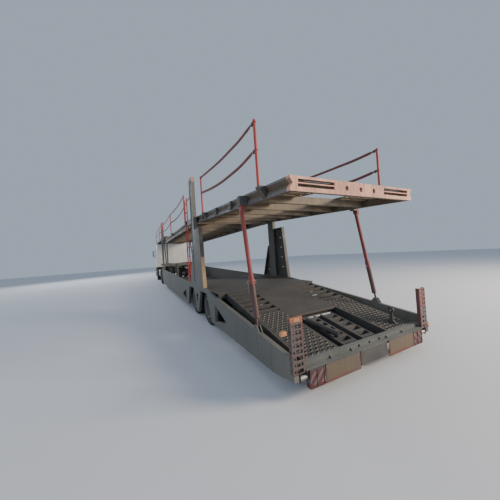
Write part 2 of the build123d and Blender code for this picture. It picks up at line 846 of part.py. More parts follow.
def corner_posts():
    """The short channel posts at the rear corners, with two columns of holes for load pins."""
    rear = REAR + CORNER_SETBACK
    y0 = HALF - CORNER_WIDE
    outer = block(rear, PANEL_REAR - SEAT, y0, HALF, CORNER_LOW, CORNER_TOP)
    hollow = block(rear + CORNER_T, PANEL_REAR + CORNER_T, y0 + CORNER_T, HALF - CORNER_T, CORNER_LOW - 1,
        CORNER_TOP + 1)
    holes = []
    pitch = (CORNER_TOP - CORNER_LOW) / CORNER_ROWS
    for row in range(CORNER_ROWS):
        z = CORNER_LOW + (row + 0.5) * pitch
        for y in (y0 + CORNER_WIDE * 0.3, y0 + CORNER_WIDE * 0.7):
            holes.append(block(
                rear - 1, rear + CORNER_T + 1, y - CORNER_HOLE / 2, y + CORNER_HOLE / 2,
                z - CORNER_HOLE / 2, z + CORNER_HOLE / 2,
            ))
    post = (outer - hollow).cut(*holes)
    return [post, mirrored(post)]


def post_column(x, width, top, pivot_z):
    """One upright from the side panel, notched on one edge for the deck's locks."""
    base = panel_top(x + width / 2) + SEAT
    post = block(x - width / 2, x + width / 2, POST_IN, HALF, base, top)
    rear = x - width / 2
    cuts = [block(rear + NOTCH_DEEP, x + width / 2 - NOTCH_DEEP, HALF - POST_GROOVE, HALF + 1,
        base + SILL, top - SILL)]
    first = NOTCH_FROM
    while first + NOTCH_PITCH < top:
        cuts.append(block(rear - 1, rear + NOTCH_DEEP, POST_IN - 1, POST_IN + NOTCH_DEEP, first,
            first + NOTCH_H))
        first += NOTCH_PITCH
    if pivot_z:
        cuts.append(rod((x, POST_IN - 1, pivot_z), (x, POST_IN + PIVOT_DEEP + 2, pivot_z),
            PIVOT_R + RUNNING))
    return post.cut(*cuts)


def post_leg(edge, sign, foot, shoulder, top):
    """One tapered plate beside a main post, rimmed like a channel, with a row of holes."""
    base = PANEL_TOP + SEAT
    outline = [(edge, base), (edge, top), (edge + sign * shoulder, top), (edge + sign * foot, base)]
    leg = side_shape(outline, POST_IN, HALF)
    inner = [
        (edge + sign * LEG_RIM, base + LEG_RIM), (edge + sign * LEG_RIM, top - LEG_RIM),
        (edge + sign * (shoulder - LEG_RIM), top - LEG_RIM),
        (edge + sign * (foot - 1.5 * LEG_RIM), base + LEG_RIM),
    ]
    cuts = [side_shape(inner, POST_IN - 1, HALF - LEG_SKIN)]
    rise = (top - base) / (LEG_HOLES + 1)
    for index in range(LEG_HOLES):
        z = base + (index + 1) * rise
        reach = foot + (shoulder - foot) * (z - base) / (top - base)
        x = edge + sign * reach / 2
        cuts.append(rod((x, POST_IN, z), (x, HALF + 1, z), LEG_HOLE_R))
    return leg.cut(*cuts)


def deck_posts():
    """The main posts with their tapered legs, and the plain front posts."""
    _, pivot_z = deck_pivot()
    rear_edge, front_edge = MAIN_POST - POST_X / 2 - SEAT, MAIN_POST + POST_X / 2 + SEAT
    pieces = [
        post_column(MAIN_POST, POST_X, MAIN_POST_TOP, pivot_z),
        post_leg(rear_edge, -1, LEG_REAR_FOOT, LEG_REAR_TOP, LEG_REAR_Z),
        post_leg(front_edge, 1, LEG_FRONT_FOOT, LEG_FRONT_TOP, LEG_FRONT_Z),
        post_column(FRONT_POST, FRONT_POST_X, FRONT_POST_TOP, None),
    ]
    return pieces + [mirrored(piece) for piece in pieces]


def gooseneck():
    """The neck that rises from the belly over the coupling, with its kingpin."""
    rear = BELLY_TO + SEAT
    bend = BELLY_TO + NECK_BEND
    under = COUPLING_Z + SEAT + COUPLING_T
    column = [
        (rear, NECK_LOW), (rear, GOOSE_TOP), (bend, GOOSE_TOP), (bend, under),
        (BELLY_TO + NECK_KNEE, NECK_KNEE_Z),
        (BELLY_TO + NECK_FOOT, NECK_LOW),
    ]
    beam = [
        (bend + SEAT, under), (bend + SEAT, GOOSE_TOP), (GOOSE_FRONT, GOOSE_TOP),
        (GOOSE_FRONT, COUPLING_Z + NECK_TIP), (GOOSE_FRONT - 1.5 * NECK_TIP, under),
    ]
    left = [side_shape(outline, GOOSE_Y - NECK_T, GOOSE_Y) for outline in (column, beam)]
    plate = block(KINGPIN - COUPLING_RUN, GOOSE_FRONT - 1.5 * NECK_TIP, -GOOSE_Y, GOOSE_Y, COUPLING_Z,
        COUPLING_Z + COUPLING_T)
    pin = rod((KINGPIN, 0, COUPLING_Z - KINGPIN_LONG), (KINGPIN, 0, COUPLING_Z + 1), KINGPIN_R)
    flange_z = COUPLING_Z - KINGPIN_LONG
    flange = rod((KINGPIN, 0, flange_z), (KINGPIN, 0, flange_z + COUPLING_T), KINGPIN_R + KINGPIN_LIP)
    pieces = left + [mirrored(piece) for piece in left] + [joined([plate, pin, flange])]
    neck_in = GOOSE_Y - NECK_T - SEAT
    half = NECK_BEAM / 2
    low, top = GOOSE_TOP - NECK_BEAM - HEAD_SEAT, GOOSE_TOP - HEAD_SEAT
    for x, reach in (
        (FRONT_POST, POST_IN - SEAT), (BELLY_TO + NECK_BEAM_AT, HEAD_HALF),
        (KINGPIN + 2.5 * NECK_BEAM, HEAD_HALF),
    ):
        pieces.append(block(x - half, x + half, -neck_in, neck_in, low, top))
        arm = block(x - half, x + half, GOOSE_Y + SEAT, reach, low, top - SEAT)
        pieces += [arm, mirrored(arm)]
    wing = block(rear, BELLY_TO + NECK_BEAM, GOOSE_Y + SEAT, PANEL_IN - SEAT, NECK_KNEE_Z - NECK_BEAM,
        NECK_KNEE_Z)
    strip = block(BELLY_TO + NECK_T, GOOSE_FRONT - STRIP_SHORT, STRIP_IN, STRIP_OUT,
        GOOSE_TOP - HEAD_SEAT, GOOSE_TOP)
    return pieces + [wing, mirrored(wing), strip, mirrored(strip)]


def landing_legs():
    """The two parking legs, wound up as when coupled, with their gear boxes and foot pads."""
    y0, y1 = LEG_Y - LEG_TUBE / 2, LEG_Y + LEG_TUBE / 2
    pad = LEG_TUBE
    leg = joined([
        block(LEG_X - LEG_TUBE / 2, LEG_X + LEG_TUBE / 2, y0, y1, LEG_FOOT + LEG_SLEEVE,
            GOOSE_TOP - HEAD_SEAT - SEAT),
        block(LEG_X - LEG_TUBE * 0.4, LEG_X + LEG_TUBE * 0.4, y0 + 10, y1 - 10, LEG_FOOT,
            LEG_FOOT + LEG_SLEEVE),
        block(LEG_X - pad, LEG_X + pad, LEG_Y - pad, LEG_Y + pad, LEG_FOOT - 20, LEG_FOOT),
        rod((LEG_X, y1 - 10, LEG_GEAR_Z), (LEG_X, y1 + LEG_GEAR, LEG_GEAR_Z), LEG_TUBE * 0.45),
    ])
    return [leg, mirrored(leg)]


def trailer_axles():
    """Two beam axles, each on two trailing arms with an air bag behind and a hanger ahead."""
    axles = []
    beam_y = TRAILER_OUT - 2 * TRAILER_TYRE_W - TWIN_GAP - SIDE_GAP
    hub_y = TRAILER_OUT - TRAILER_HUB_IN
    z = TRAILER_TYRE_R
    top = OVER_WHEELS - DECK_T - SEAT
    for axle in (TANDEM_REAR, TANDEM_REAR + TANDEM_SPACING):
        pieces = [
            rod((axle, -beam_y, z), (axle, beam_y, z), AXLE_R),
            rod((axle, -hub_y, z), (axle, hub_y, z), TRAILER_SPINDLE_R),
        ]
        arm = [
            (axle + ARM_AHEAD, z + ARM_RISE), (axle + ARM_AHEAD, z + ARM_RISE + ARM_H),
            (axle, z + AXLE_R + ARM_H / 2),
            (axle - ARM_BEHIND, z + ARM_H / 2), (axle - ARM_BEHIND, z - ARM_H / 2), (axle, z + AXLE_R / 2),
        ]
        for side in (-1, 1):
            y = side * ARM_Y
            pieces.append(side_shape(arm, y - ARM_T / 2, y + ARM_T / 2))
            hanger = [
                (axle + ARM_AHEAD - HANGER_HALF / 2, z + ARM_RISE - HANGER_HALF / 2),
                (axle + ARM_AHEAD - HANGER_HALF, top),
                (axle + ARM_AHEAD + HANGER_HALF, top),
                (axle + ARM_AHEAD + HANGER_HALF / 2, z + ARM_RISE - HANGER_HALF / 2),
            ]
            pieces.append(side_shape(hanger, y - ARM_T * 0.8, y + ARM_T * 0.8))
            bag_x = axle - ARM_BEHIND + BAG_R * 0.6
            pieces.append(rod((bag_x, y, z), (bag_x, y, top), BAG_R))
        axles.append(joined(pieces))
    return axles


def access_ladder():
    """The ladder up to the front deck, standing on the side panel and braced to the main post."""
    x0, x1 = LADDER_X, LADDER_X + LADDER_WIDE
    y = HALF - LADDER_R * 2
    low, high = PANEL_TOP + SEAT, LADDER_TOP
    pieces = [rod((x, y, low), (x, y, high), LADDER_R) for x in (x0, x1)]
    off = LADDER_R + SEAT
    for index in range(RUNG_COUNT):
        z = low + (index + 1) * (high - low) / (RUNG_COUNT + 0.5)
        pieces.append(rod((x0 + off, y, z), (x1 - off, y, z), RUNG_R))
    for z in (LEG_FRONT_Z + BRACE_UP, LADDER_TOP - BRACE_UP):
        pieces.append(rod((MAIN_POST + POST_X / 2 + SEAT, y, z), (x0 - off, y, z), RUNG_R))
    return pieces


def head_deck():
    """The deck over the cab with the props that hold it."""
    low = HEAD_TOP - HEAD_H
    side_in = HEAD_HALF - DECK_BEAM_T
    beam = block(HEAD_REAR, HEAD_FRONT, side_in, HEAD_HALF, low, HEAD_TOP)
    under = HEAD_TOP - HEAD_TRACK_DOWN
    tread = block(HEAD_REAR, HEAD_FRONT, UPPER_TRACK_IN, side_in - SEAT, under, under + TRACK_PLATE_T)
    pieces = [beam, mirrored(beam), tread, mirrored(tread)]
    prop_x = HEAD_REAR + HEAD_PROP
    strut_foot, strut_head = KINGPIN - STRUT_FOOT, KINGPIN - STRUT_HEAD
    last = HEAD_FRONT - CROSS_BEAM
    run = last - strut_head
    half = CROSS_BEAM / 2
    starts = [HEAD_REAR, prop_x - half, (prop_x + strut_head) / 2 - half, strut_head - half]
    starts += [strut_head + share * run for share in HEAD_SHARES] + [last]
    for start in starts:
        pieces.append(block(start, start + CROSS_BEAM, -side_in + SEAT, side_in - SEAT, low + BEAM_UP,
            under - SEAT))
    for foot_x, head_x in ((strut_foot, strut_head), (prop_x, prop_x)):
        pad = block(foot_x - PAD_HALF, foot_x + PAD_HALF, PROP_Y - PAD_Y, PROP_Y + PAD_Y,
            GOOSE_TOP + SEAT, GOOSE_TOP + PAD_H)
        bar = rod((foot_x, PROP_Y, GOOSE_TOP + PAD_H / 2), (head_x, PROP_Y, low - PAD_H / 2), PROP_R)
        cap = block(head_x - PAD_Y, head_x + PAD_Y, PROP_Y - PAD_Y, PROP_Y + PAD_Y, low - PAD_H,
            low + BEAM_UP - SEAT)
        prop = joined([pad, bar, cap])
        pieces += [prop, mirrored(prop)]
    return pieces


def rear_deck_top_at(x):
    """Height of the parked rear upper deck's top at a place along it."""
    return REAR_DECK_TOP + (x - REAR_DECK_REAR) * sin(radians(REAR_DECK_TILT)) / cos(radians(REAR_DECK_TILT))


def stations(rows, deck_top):
    """Rows of place, foot and top height for a deck's rail posts."""
    return [(x, deck_top(x), top) for x, top in rows]


def rear_stations():
    return stations(REAR_RAIL, rear_deck_top_at)


def front_stations():
    return stations(FRONT_RAIL, lambda x: FRONT_DECK_TOP)


def head_stations():
    return stations(HEAD_RAIL, lambda x: HEAD_TOP + SEAT)


def rail_line(rows, y, sink):
    """Hand-rail posts and the two straps between them, from rows of place, foot and top height."""
    pieces = [rod((x, y, foot - sink), (x, y, top), RAIL_POST_R) for x, foot, top in rows]
    for (xa, _, ta), (xb, _, tb) in zip(rows, rows[1:]):
        start, end = xa + RAIL_POST_R + SEAT, xb - RAIL_POST_R - SEAT
        for drop in (RAIL_TOP_DROP, RAIL_TOP_H - RAIL_MID_H):
            pieces.append(rod((start, y, ta - drop), (end, y, tb - drop), STRAP_R))
    return pieces + [mirrored(piece) for piece in pieces]


def ribbed_track(x0, x1, top, beams):
    """A wheel track with pressed ribs below it and slots between them, none over a cross beam."""
    inner = DECK_HALF - DECK_BEAM_T - SEAT
    low = top - TRACK_PLATE_T
    middle = (UPPER_TRACK_IN + inner) / 2
    plate = block(x0, x1, UPPER_TRACK_IN, inner, low, top)
    ribs = []
    slots = []
    edges = [x0] + [edge for beam in beams for edge in beam] + [x1]
    for start, end in zip(edges[::2], edges[1::2]):
        count = int((end - start) // RIB_PITCH)
        for index in range(count):
            x = start + (index + 0.5) * (end - start) / count
            ribs.append(block(x - RIB_HALF, x + RIB_HALF, UPPER_TRACK_IN + RIB_IN, inner - RIB_IN,
                low - RIB_H, low + 1))
            if index == 0:
                continue
            x -= (end - start) / count / 2
            for ya, yb in ((UPPER_TRACK_IN + SLOT_IN, middle - SLOT_APART), (middle + SLOT_APART, inner - SLOT_IN)):
                slots.append(block(x - SLOT_WIDE / 2, x + SLOT_WIDE / 2, ya, yb, low - 1, top + 1))
    track = joined([plate.cut(*slots)] + ribs) if slots else joined([plate] + ribs)
    return [track, mirrored(track)]


def rear_deck_beams():
    """Where the rear upper deck's cross beams start and end."""
    last = REAR_DECK_REAR + REAR_DECK_LENGTH - CROSS_BEAM
    first = REAR_DECK_REAR + REAR_BAY
    step = (last - first) / (REAR_BEAMS - 1)
    return [(first + index * step, first + index * step + CROSS_BEAM) for index in range(REAR_BEAMS)]


def rear_deck_frame():
    """Side beams, the slotted end beam and cross beams of the rear upper deck, made level."""
    x0, x1 = REAR_DECK_REAR, REAR_DECK_REAR + REAR_DECK_LENGTH
    top = REAR_DECK_TOP
    low = top - REAR_DECK_H
    profile = [
        (DECK_HALF, top), (DECK_HALF - DECK_BEAM_T, top), (DECK_HALF - DECK_BEAM_T, low), (DECK_HALF, low),
        (DECK_HALF, low + GROOVE_LOW), (DECK_HALF - GROOVE_DEEP, low + GROOVE_LOW + GROOVE_HALF),
        (DECK_HALF, low + GROOVE_LOW + 2 * GROOVE_HALF),
    ]
    left = end_shape(profile, x0, x1)
    inner = DECK_HALF - DECK_BEAM_T - SEAT
    end = block(x0, x0 + END_BEAM_T, -inner, inner, low, top)
    cuts = []
    for side in (-1, 1):
        for slot_low in SLOT_LOWS:
            y0, y1 = sorted((side * SLOT_FROM * inner, side * SLOT_TO * inner))
            z0 = low + slot_low * REAR_DECK_H
            cuts.append(block(x0 - 1, x0 + END_BEAM_T + 1, y0, y1, z0, z0 + SLOT_HIGH * REAR_DECK_H))
    middle = (low + top) / 2
    for y in END_HOLES_Y:
        cuts.append(rod((x0 - 1, y, middle), (x0 + END_BEAM_T + 1, y, middle), END_HOLE_R))
    pieces = [left, mirrored(left), end.cut(*cuts)]
    for beam_from, beam_to in rear_deck_beams():
        pieces.append(block(beam_from, beam_to, -inner, inner, low + BEAM_UP, top - TRACK_DROP))
    return pieces


def rear_deck_floor():
    """Two wheel tracks of the rear upper deck, made level."""
    x0, x1 = REAR_DECK_REAR + END_BEAM_T + SEAT, REAR_DECK_REAR + REAR_DECK_LENGTH - SEAT
    beams = [(start, min(end, x1)) for start, end in rear_deck_beams()]
    return ribbed_track(x0, x1, REAR_DECK_TOP - TRACK_DROP + TRACK_PLATE_T + SEAT, beams)


def tilt_up(piece):
    """Turns a level piece of the rear upper deck to its parked slope."""
    axis = Axis((REAR_DECK_REAR, 0, REAR_DECK_TOP - REAR_DECK_H), (0, 1, 0))
    return piece.rotate(axis, -REAR_DECK_TILT)


def front_deck_beams():
    """Where the front upper deck's cross beams start and end."""
    pitch = (FRONT_DECK_FRONT - FRONT_DECK_REAR - CROSS_BEAM) / (FRONT_BEAMS - 1)
    starts = [FRONT_DECK_REAR + index * pitch for index in range(FRONT_BEAMS)]
    return [(start, start + CROSS_BEAM) for start in starts]


def front_deck_frame():
    """Side beams and cross beams of the front upper deck, with the shoes that slide on the posts."""
    low = FRONT_DECK_TOP - FRONT_DECK_H
    beam = block(FRONT_DECK_REAR, FRONT_DECK_FRONT, DECK_HALF - DECK_BEAM_T, DECK_HALF, low, FRONT_DECK_TOP)
    groove = [
        (DECK_HALF + 1, low + 2 * GROOVE_LOW),
        (DECK_HALF - GROOVE_DEEP, low + 2 * GROOVE_LOW + GROOVE_HALF),
        (DECK_HALF + 1, low + 2 * GROOVE_LOW + 2 * GROOVE_HALF),
    ]
    beam -= end_shape(groove, FRONT_DECK_REAR + SHOE_RUN, FRONT_DECK_FRONT - SHOE_RUN)
    pieces = [beam, mirrored(beam)]
    shoes = (
        (MAIN_POST + POST_X / 2 + SEAT, FRONT_DECK_REAR + SHOE_RUN),
        (FRONT_DECK_FRONT - SHOE_RUN, FRONT_POST - FRONT_POST_X / 2 - SEAT),
    )
    for x0, x1 in shoes:
        root = (max(x0, FRONT_DECK_REAR), min(x1, FRONT_DECK_FRONT))
        z0, z1 = low + SHOE_UP, low + SHOE_UP + SHOE_H
        shoe = joined([
            block(x0, x1, DECK_HALF + SHOE_IN, HALF - SHOE_IN, z0, z1),
            block(*root, DECK_HALF + SEAT, DECK_HALF + 2 * SHOE_IN, z0, z1),
        ])
        pieces += [shoe, mirrored(shoe)]
    inner = DECK_HALF - DECK_BEAM_T - SEAT
    for beam_from, beam_to in front_deck_beams():
        pieces.append(block(beam_from, beam_to, -inner, inner, low + TRACK_DROP,
            FRONT_DECK_TOP - TRACK_DROP))
    return pieces


def front_deck_floor():
    """Two wheel tracks of the front upper deck."""
    x0, x1 = FRONT_DECK_REAR + SEAT, FRONT_DECK_FRONT - SEAT
    beams = [(max(start, x0), min(end, x1)) for start, end in front_deck_beams()]
    return ribbed_track(x0, x1, FRONT_DECK_TOP - TRACK_DROP + TRACK_PLATE_T + SEAT, beams)


def deck_pivot():
    """The pivot of the rear upper deck, at its beams' mid height beside the main posts."""
    a = radians(REAR_DECK_TILT)
    half = REAR_DECK_H / 2
    run = (MAIN_POST - REAR_DECK_REAR + half * sin(a)) / cos(a)
    return MAIN_POST, REAR_DECK_TOP - REAR_DECK_H + run * sin(a) + half * cos(a)


def rail_feet(rows):
    """The brackets on a deck's side beam that carry its hand-rail posts."""
    feet = []
    for x, foot_z, _ in rows:
        outline = [
            (DECK_HALF + SEAT, foot_z - FOOT_DOWN), (DECK_HALF + SEAT, foot_z - FOOT_UP),
            (RAIL_Y + FOOT_OUT, foot_z - FOOT_UP),
            (RAIL_Y + FOOT_OUT, foot_z - FOOT_UP - FOOT_T), (DECK_HALF + FOOT_T, foot_z - FOOT_DOWN),
        ]
        foot = end_shape(outline, x - FOOT_HALF, x + FOOT_HALF)
        feet += [foot, mirrored(foot)]
    return feet


def rear_deck_in_place():
    """The tilted frame with its pivot pins, rail feet, lock brackets and the shoes on the stays."""
    pieces = [tilt_up(piece) for piece in rear_deck_frame()]
    x, z = deck_pivot()
    pin = rod((x, DECK_HALF - GROOVE_DEEP - PIVOT_R / 4, z), (x, POST_IN + PIVOT_DEEP, z), PIVOT_R)
    pieces[0] = joined([pieces[0], pin])
    pieces[1] = joined([pieces[1], mirrored(pin)])
    low = STAY_TOP_Z + SEAT
    outline = [
        (STAY_TOP_X - SHOE_HALF, low), (STAY_TOP_X - SHOE_HALF, low + STAY_SHOE),
        (STAY_TOP_X + SHOE_HALF, low + STAY_SHOE),
        (STAY_TOP_X + SHOE_HALF, low),
    ]
    shoe = side_shape(outline, DECK_HALF + SEAT, STAY_Y + STAY_HEAD)
    pieces += [shoe, mirrored(shoe)]
    for place in LOCKS:
        top = rear_deck_top_at(place) - LOCK_DOWN
        lock = block(place - LOCK_HALF, place + LOCK_HALF, DECK_HALF + SEAT, DECK_HALF + LOCK_OUT,
            top - LOCK_H, top)
        lock -= rod((place, DECK_HALF, top - LOCK_H / 2),
            (place, DECK_HALF + LOCK_OUT + 1, top - LOCK_H / 2), LOCK_HOLE_R)
        pieces += [lock, mirrored(lock)]
    return pieces + rail_feet(rear_stations())


def stay(side):
    """One stay: an eye at its foot pin, a bar that slides in a sleeve, and a flat head under the deck."""
    run_x, run_z = STAY_TOP_X - STAY_FOOT_X, STAY_TOP_Z - STAY_FOOT_Z
    length = sqrt(run_x ** 2 + run_z ** 2)
    lean = degrees(atan2(run_x, run_z))
    eye = rod((0, -STAY_EYE_T / 2, 0), (0, STAY_EYE_T / 2, 0), STAY_EYE_R)
    pin = rod((0, -STAY_PIN_HALF + SEAT, 0), (0, STAY_PIN_HALF - SEAT, 0), STAY_PIN_R)
    y = -side * STAY_SET
    neck = rod((0, 0, 0), (0, 0, STAY_SLEEVE_FROM + 1), STAY_EYE_T / 2)
    bar = rod((0, y, STAY_SLEEVE_TO - 1), (0, y, length - STAY_HEAD_H / 2), STAY_BAR_R)
    sleeve = rod((0, y, STAY_SLEEVE_FROM), (0, y, STAY_SLEEVE_TO), STAY_R)
    piece = joined([eye, pin, neck, bar, sleeve]).rotate(Axis.Y, lean)
    gusset = side_shape(
        [
            (run_x - 2 * STAY_HEAD, run_z - STAY_HEAD_H), (run_x - 2 * STAY_HEAD, run_z),
            (run_x + STAY_HEAD, run_z),
            (run_x + STAY_HEAD, run_z - STAY_HEAD_H), (run_x - STAY_HEAD, run_z - 3 * STAY_HEAD_H),
        ],
        y - STAY_HEAD, y + STAY_HEAD,
    )
    return Pos(STAY_FOOT_X, side * STAY_Y, STAY_FOOT_Z) * joined([piece, gusset])


def tyre(x, z, y0, y1, outer, inner):
    """One tyre about a cross axis, from bead to bead."""
    points = [
        (inner, y0 + BEAD_IN), (inner + BEAD_IN, y0 + BEAD_OUT), (outer - WALL_UP, y0),
        (outer, y0 + SHOULDER),
        (outer, y1 - SHOULDER), (outer - WALL_UP, y1), (inner + BEAD_IN, y1 - BEAD_OUT),
        (inner, y1 - BEAD_IN),
    ]
    face = make_face(Polyline(*points, close=True))
    return Pos(x, 0, z) * revolve(face, Axis.Y)


def rim(x, z, y0, y1, outer, disc_y, bore):
    """One rim: a barrel, a dished disc with hand holes and a hub that runs on the spindle."""
    seat = outer - SEAT
    lip = outer + RIM_LIP
    barrel = [
        (outer - RIM_WALL, y0 + LIP_T / 2), (lip, y0 + LIP_T / 2), (lip, y0 + LIP_T * 3 / 2),
        (seat, y0 + RIM_WALL),
        (seat, y1 - RIM_WALL), (lip, y1 - LIP_T * 3 / 2), (lip, y1 - LIP_T / 2),
        (outer - RIM_WALL, y1 - LIP_T / 2),
    ]
    pieces = [revolve(make_face(Polyline(*barrel, close=True)), Axis.Y)]
    edge = outer - DISC_HALF
    disc = [
        (bore, disc_y - HUB_HALF), (HUB_R, disc_y - HUB_HALF), (HUB_FLARE, disc_y - DISC_HALF),
        (edge, disc_y - DISC_HALF),
        (edge, disc_y + DISC_HALF), (HUB_FLARE - RIM_WALL, disc_y + DISC_HALF), (HUB_R, disc_y + HUB_HALF),
        (bore, disc_y + HUB_HALF),
    ]
    pieces.append(revolve(make_face(Polyline(*disc, close=True)), Axis.Y))
    whole = joined(pieces)
    holes = []
    reach = outer - HAND_HOLE_IN
    for index in range(HAND_HOLES):
        hole = rod((reach, disc_y - HUB_HALF / 2, 0), (reach, disc_y + HUB_HALF / 2, 0), HAND_HOLE_R)
        holes.append(hole.rotate(Axis.Y, index * 360 / HAND_HOLES))
    return Pos(x, 0, z) * whole.cut(*holes)


def twin_wheel(name, x, radius, width, rim_r, out, spindle_r, side):
    """A pair of tyres on one rim, written for the left or the right side."""
    y1 = out
    y0 = out - width
    y2 = y0 - TWIN_GAP - width
    tyres = [tyre(x, radius, y0, y1, radius, rim_r), tyre(x, radius, y2, y0 - TWIN_GAP, radius, rim_r)]
    wheel = rim(x, radius, y2, y1, rim_r, (y0 + y2 + width) / 2 + DISC_OFF, spindle_r + SEAT)
    if side < 0:
        tyres = [mirrored(piece) for piece in tyres]
        wheel = mirrored(wheel)
    write(f"{name}_tyre", *tyres)
    write(f"{name}_rim", wheel)


def steer_wheel(name, side):
    """The single steered wheel."""
    y0, y1 = STEER_OUT - TYRE_W, STEER_OUT
    rubber = tyre(STEER_AXLE, TYRE_R, y0, y1, TYRE_R, RIM_R)
    wheel = rim(STEER_AXLE, TYRE_R, y0, y1, RIM_R, y1 - STEER_DISC_IN, SPINDLE_R + SEAT)
    if side < 0:
        rubber, wheel = mirrored(rubber), mirrored(wheel)
    write(f"{name}_tyre", rubber)
    write(f"{name}_rim", wheel)


def knuckle():
    """The left steering knuckle: two ears on the king pin and the wheel spindle."""
    z = TYRE_R
    x0, x1 = STEER_AXLE - KNUCKLE_HALF, STEER_AXLE + KNUCKLE_HALF
    face = KNUCKLE_Y + KNUCKLE_HALF
    ears = [
        block(x0, x1, KNUCKLE_Y - KNUCKLE_HALF, face + EAR_REACH, low, low + EAR_T)
        for low in (z - EAR_TOP, z + EAR_TOP - EAR_T)
    ]
    back = block(x0, x1, face + SEAT * 10, face + SEAT * 10 + KNUCKLE_BACK, z - EAR_TOP, z + EAR_TOP)
    spindle = rod((STEER_AXLE, face + EAR_REACH, z), (STEER_AXLE, STEER_OUT - HUB_HALF / 2, z), SPINDLE_R)
    reach = EAR_TOP + EAR_T
    bore = rod((STEER_AXLE, KNUCKLE_Y, z - reach), (STEER_AXLE, KNUCKLE_Y, z + reach), KING_R + SEAT)
    return joined(ears + [back, spindle]) - bore


def front_axle():
    """The dropped axle beam with its king pins and the leaf springs up to the frame."""
    z = TYRE_R
    half = BEAM_SECTION / 2
    inner = KNUCKLE_Y - BOSS_R * 2 / 3
    pieces = [block(STEER_AXLE - half, STEER_AXLE + half, -inner, inner, z - half, z + half)]
    for side in (-1, 1):
        y = side * KNUCKLE_Y
        pieces.append(rod((STEER_AXLE, y, z - EAR_IN), (STEER_AXLE, y, z + EAR_IN), BOSS_R))
        pieces.append(rod((STEER_AXLE, y, z - EAR_TOP + 2 * SEAT),
            (STEER_AXLE, y, z + EAR_TOP - 2 * SEAT), KING_R))
        y0, y1 = sorted((side * FRAME_OUT, side * (FRAME_OUT - FRAME_FLANGE)))
        low = FRAME_LOW - SPRING_DROP
        spring = [
            (STEER_AXLE - SPRING_HALF, low), (STEER_AXLE, z + half - 1), (STEER_AXLE + SPRING_HALF, low),
            (STEER_AXLE + SPRING_HALF, low + SPRING_T), (STEER_AXLE, z + half + SPRING_PACK),
            (STEER_AXLE - SPRING_HALF, low + SPRING_T),
        ]
        pieces.append(side_shape(spring, y0, y1))
        for end in (-1, 1):
            x = STEER_AXLE + end * (SPRING_HALF - SPRING_T)
            pieces.append(block(x - SPRING_T, x + SPRING_T, y0, y1, low, FRAME_LOW - SEAT))
    return joined(pieces)


def drive_axle():
    """The driven axle: housing, differential and the seats that carry the frame."""
    z = TYRE_R
    inner = DRIVE_OUT - 2 * TYRE_W - TWIN_GAP - SIDE_GAP
    hub = DRIVE_OUT - DRIVE_HUB_IN
    pieces = [
        rod((DRIVE_AXLE, -inner, z), (DRIVE_AXLE, inner, z), HOUSING_R),
        rod((DRIVE_AXLE, -hub, z), (DRIVE_AXLE, hub, z), SPINDLE_R),
        Pos(DRIVE_AXLE, 0, z) * Sphere(DIFF_R),
        rod((DRIVE_AXLE + DIFF_R / 2, 0, z), (DRIVE_AXLE + PINION_TO, 0, z + SEAT), PINION_R),
    ]
    for side in (-1, 1):
        y0, y1 = sorted((side * FRAME_OUT, side * (FRAME_OUT - FRAME_FLANGE)))
        pieces.append(block(DRIVE_AXLE - SADDLE, DRIVE_AXLE + SADDLE, y0, y1, z, FRAME_LOW - SEAT))
    return joined(pieces)


def catwalk():
    """The walkway plate behind the cab with two air bottles slung below it, between the rails."""
    low = FRAME_TOP + SEAT
    half = FRAME_OUT - SEAT
    plate = block(WALK_REAR, WALK_FRONT, -half, half, low, low + WALK_T)
    slots = []
    step = (WALK_FRONT - WALK_REAR) / WALK_SLOTS
    for index in range(WALK_SLOTS):
        x = WALK_REAR + (index + 0.5) * step
        for side in (-1, 1):
            y0, y1 = sorted((side * WALK_SLOT_IN, side * WALK_SLOT_OUT))
            slots.append(block(x - step / 5, x + step / 5, y0, y1, low - 1, low + WALK_T + 1))
    pieces = [plate.cut(*slots)]
    for side in (-1, 1):
        y = side * BOTTLE_Y
        x0, x1 = WALK_REAR + BOTTLE_END, WALK_FRONT - BOTTLE_END
        pieces.append(rod((x0, y, BOTTLE_Z), (x1, y, BOTTLE_Z), BOTTLE_R))
        for x in (x0 + BOTTLE_END, x1 - BOTTLE_END):
            pieces.append(block(x - WALK_T, x + WALK_T, y - BOTTLE_R / 2, y + BOTTLE_R / 2, BOTTLE_Z,
                low + 1))
    return joined(pieces)


def chassis():
    """Two channel rails, their cross members, the walkway, and the pads that carry the cab."""
    end = FRONT - BUMPER_T - SEAT
    channel = [
        (FRAME_OUT, FRAME_LOW), (FRAME_OUT, FRAME_TOP), (FRAME_OUT - FRAME_FLANGE, FRAME_TOP),
        (FRAME_OUT - FRAME_FLANGE, FRAME_TOP - FRAME_WEB), (FRAME_OUT - FRAME_WEB, FRAME_TOP - FRAME_WEB),
        (FRAME_OUT - FRAME_WEB, FRAME_LOW + FRAME_WEB), (FRAME_OUT - FRAME_FLANGE, FRAME_LOW + FRAME_WEB),
        (FRAME_OUT - FRAME_FLANGE, FRAME_LOW),
    ]
    rail = end_shape(channel, FRAME_REAR, end)
    pieces = [rail, mirrored(rail)]
    for x in (CAB_REAR + CAB_PAD_IN, CAB_FRONT - 3 * CAB_PAD_IN):
        y0 = FRAME_OUT - FRAME_FLANGE
        pad = block(x - CAB_PAD, x + CAB_PAD, y0, FRAME_OUT, FRAME_TOP + SEAT, CAB_FLOOR - SEAT)
        pieces += [pad, mirrored(pad)]
    inner = FRAME_OUT - FRAME_WEB - SEAT
    low, top = FRAME_LOW + MEMBER_IN, FRAME_TOP - MEMBER_IN
    for x in (FRAME_REAR, DRIVE_AXLE + MEMBER_NEAR, DRIVE_AXLE + MEMBER_FAR, CAB_REAR + MEMBER_CAB,
        end - MEMBER_X):
        pieces.append(block(x, x + MEMBER_X, -inner, inner, low, top))
    return pieces + [catwalk()]


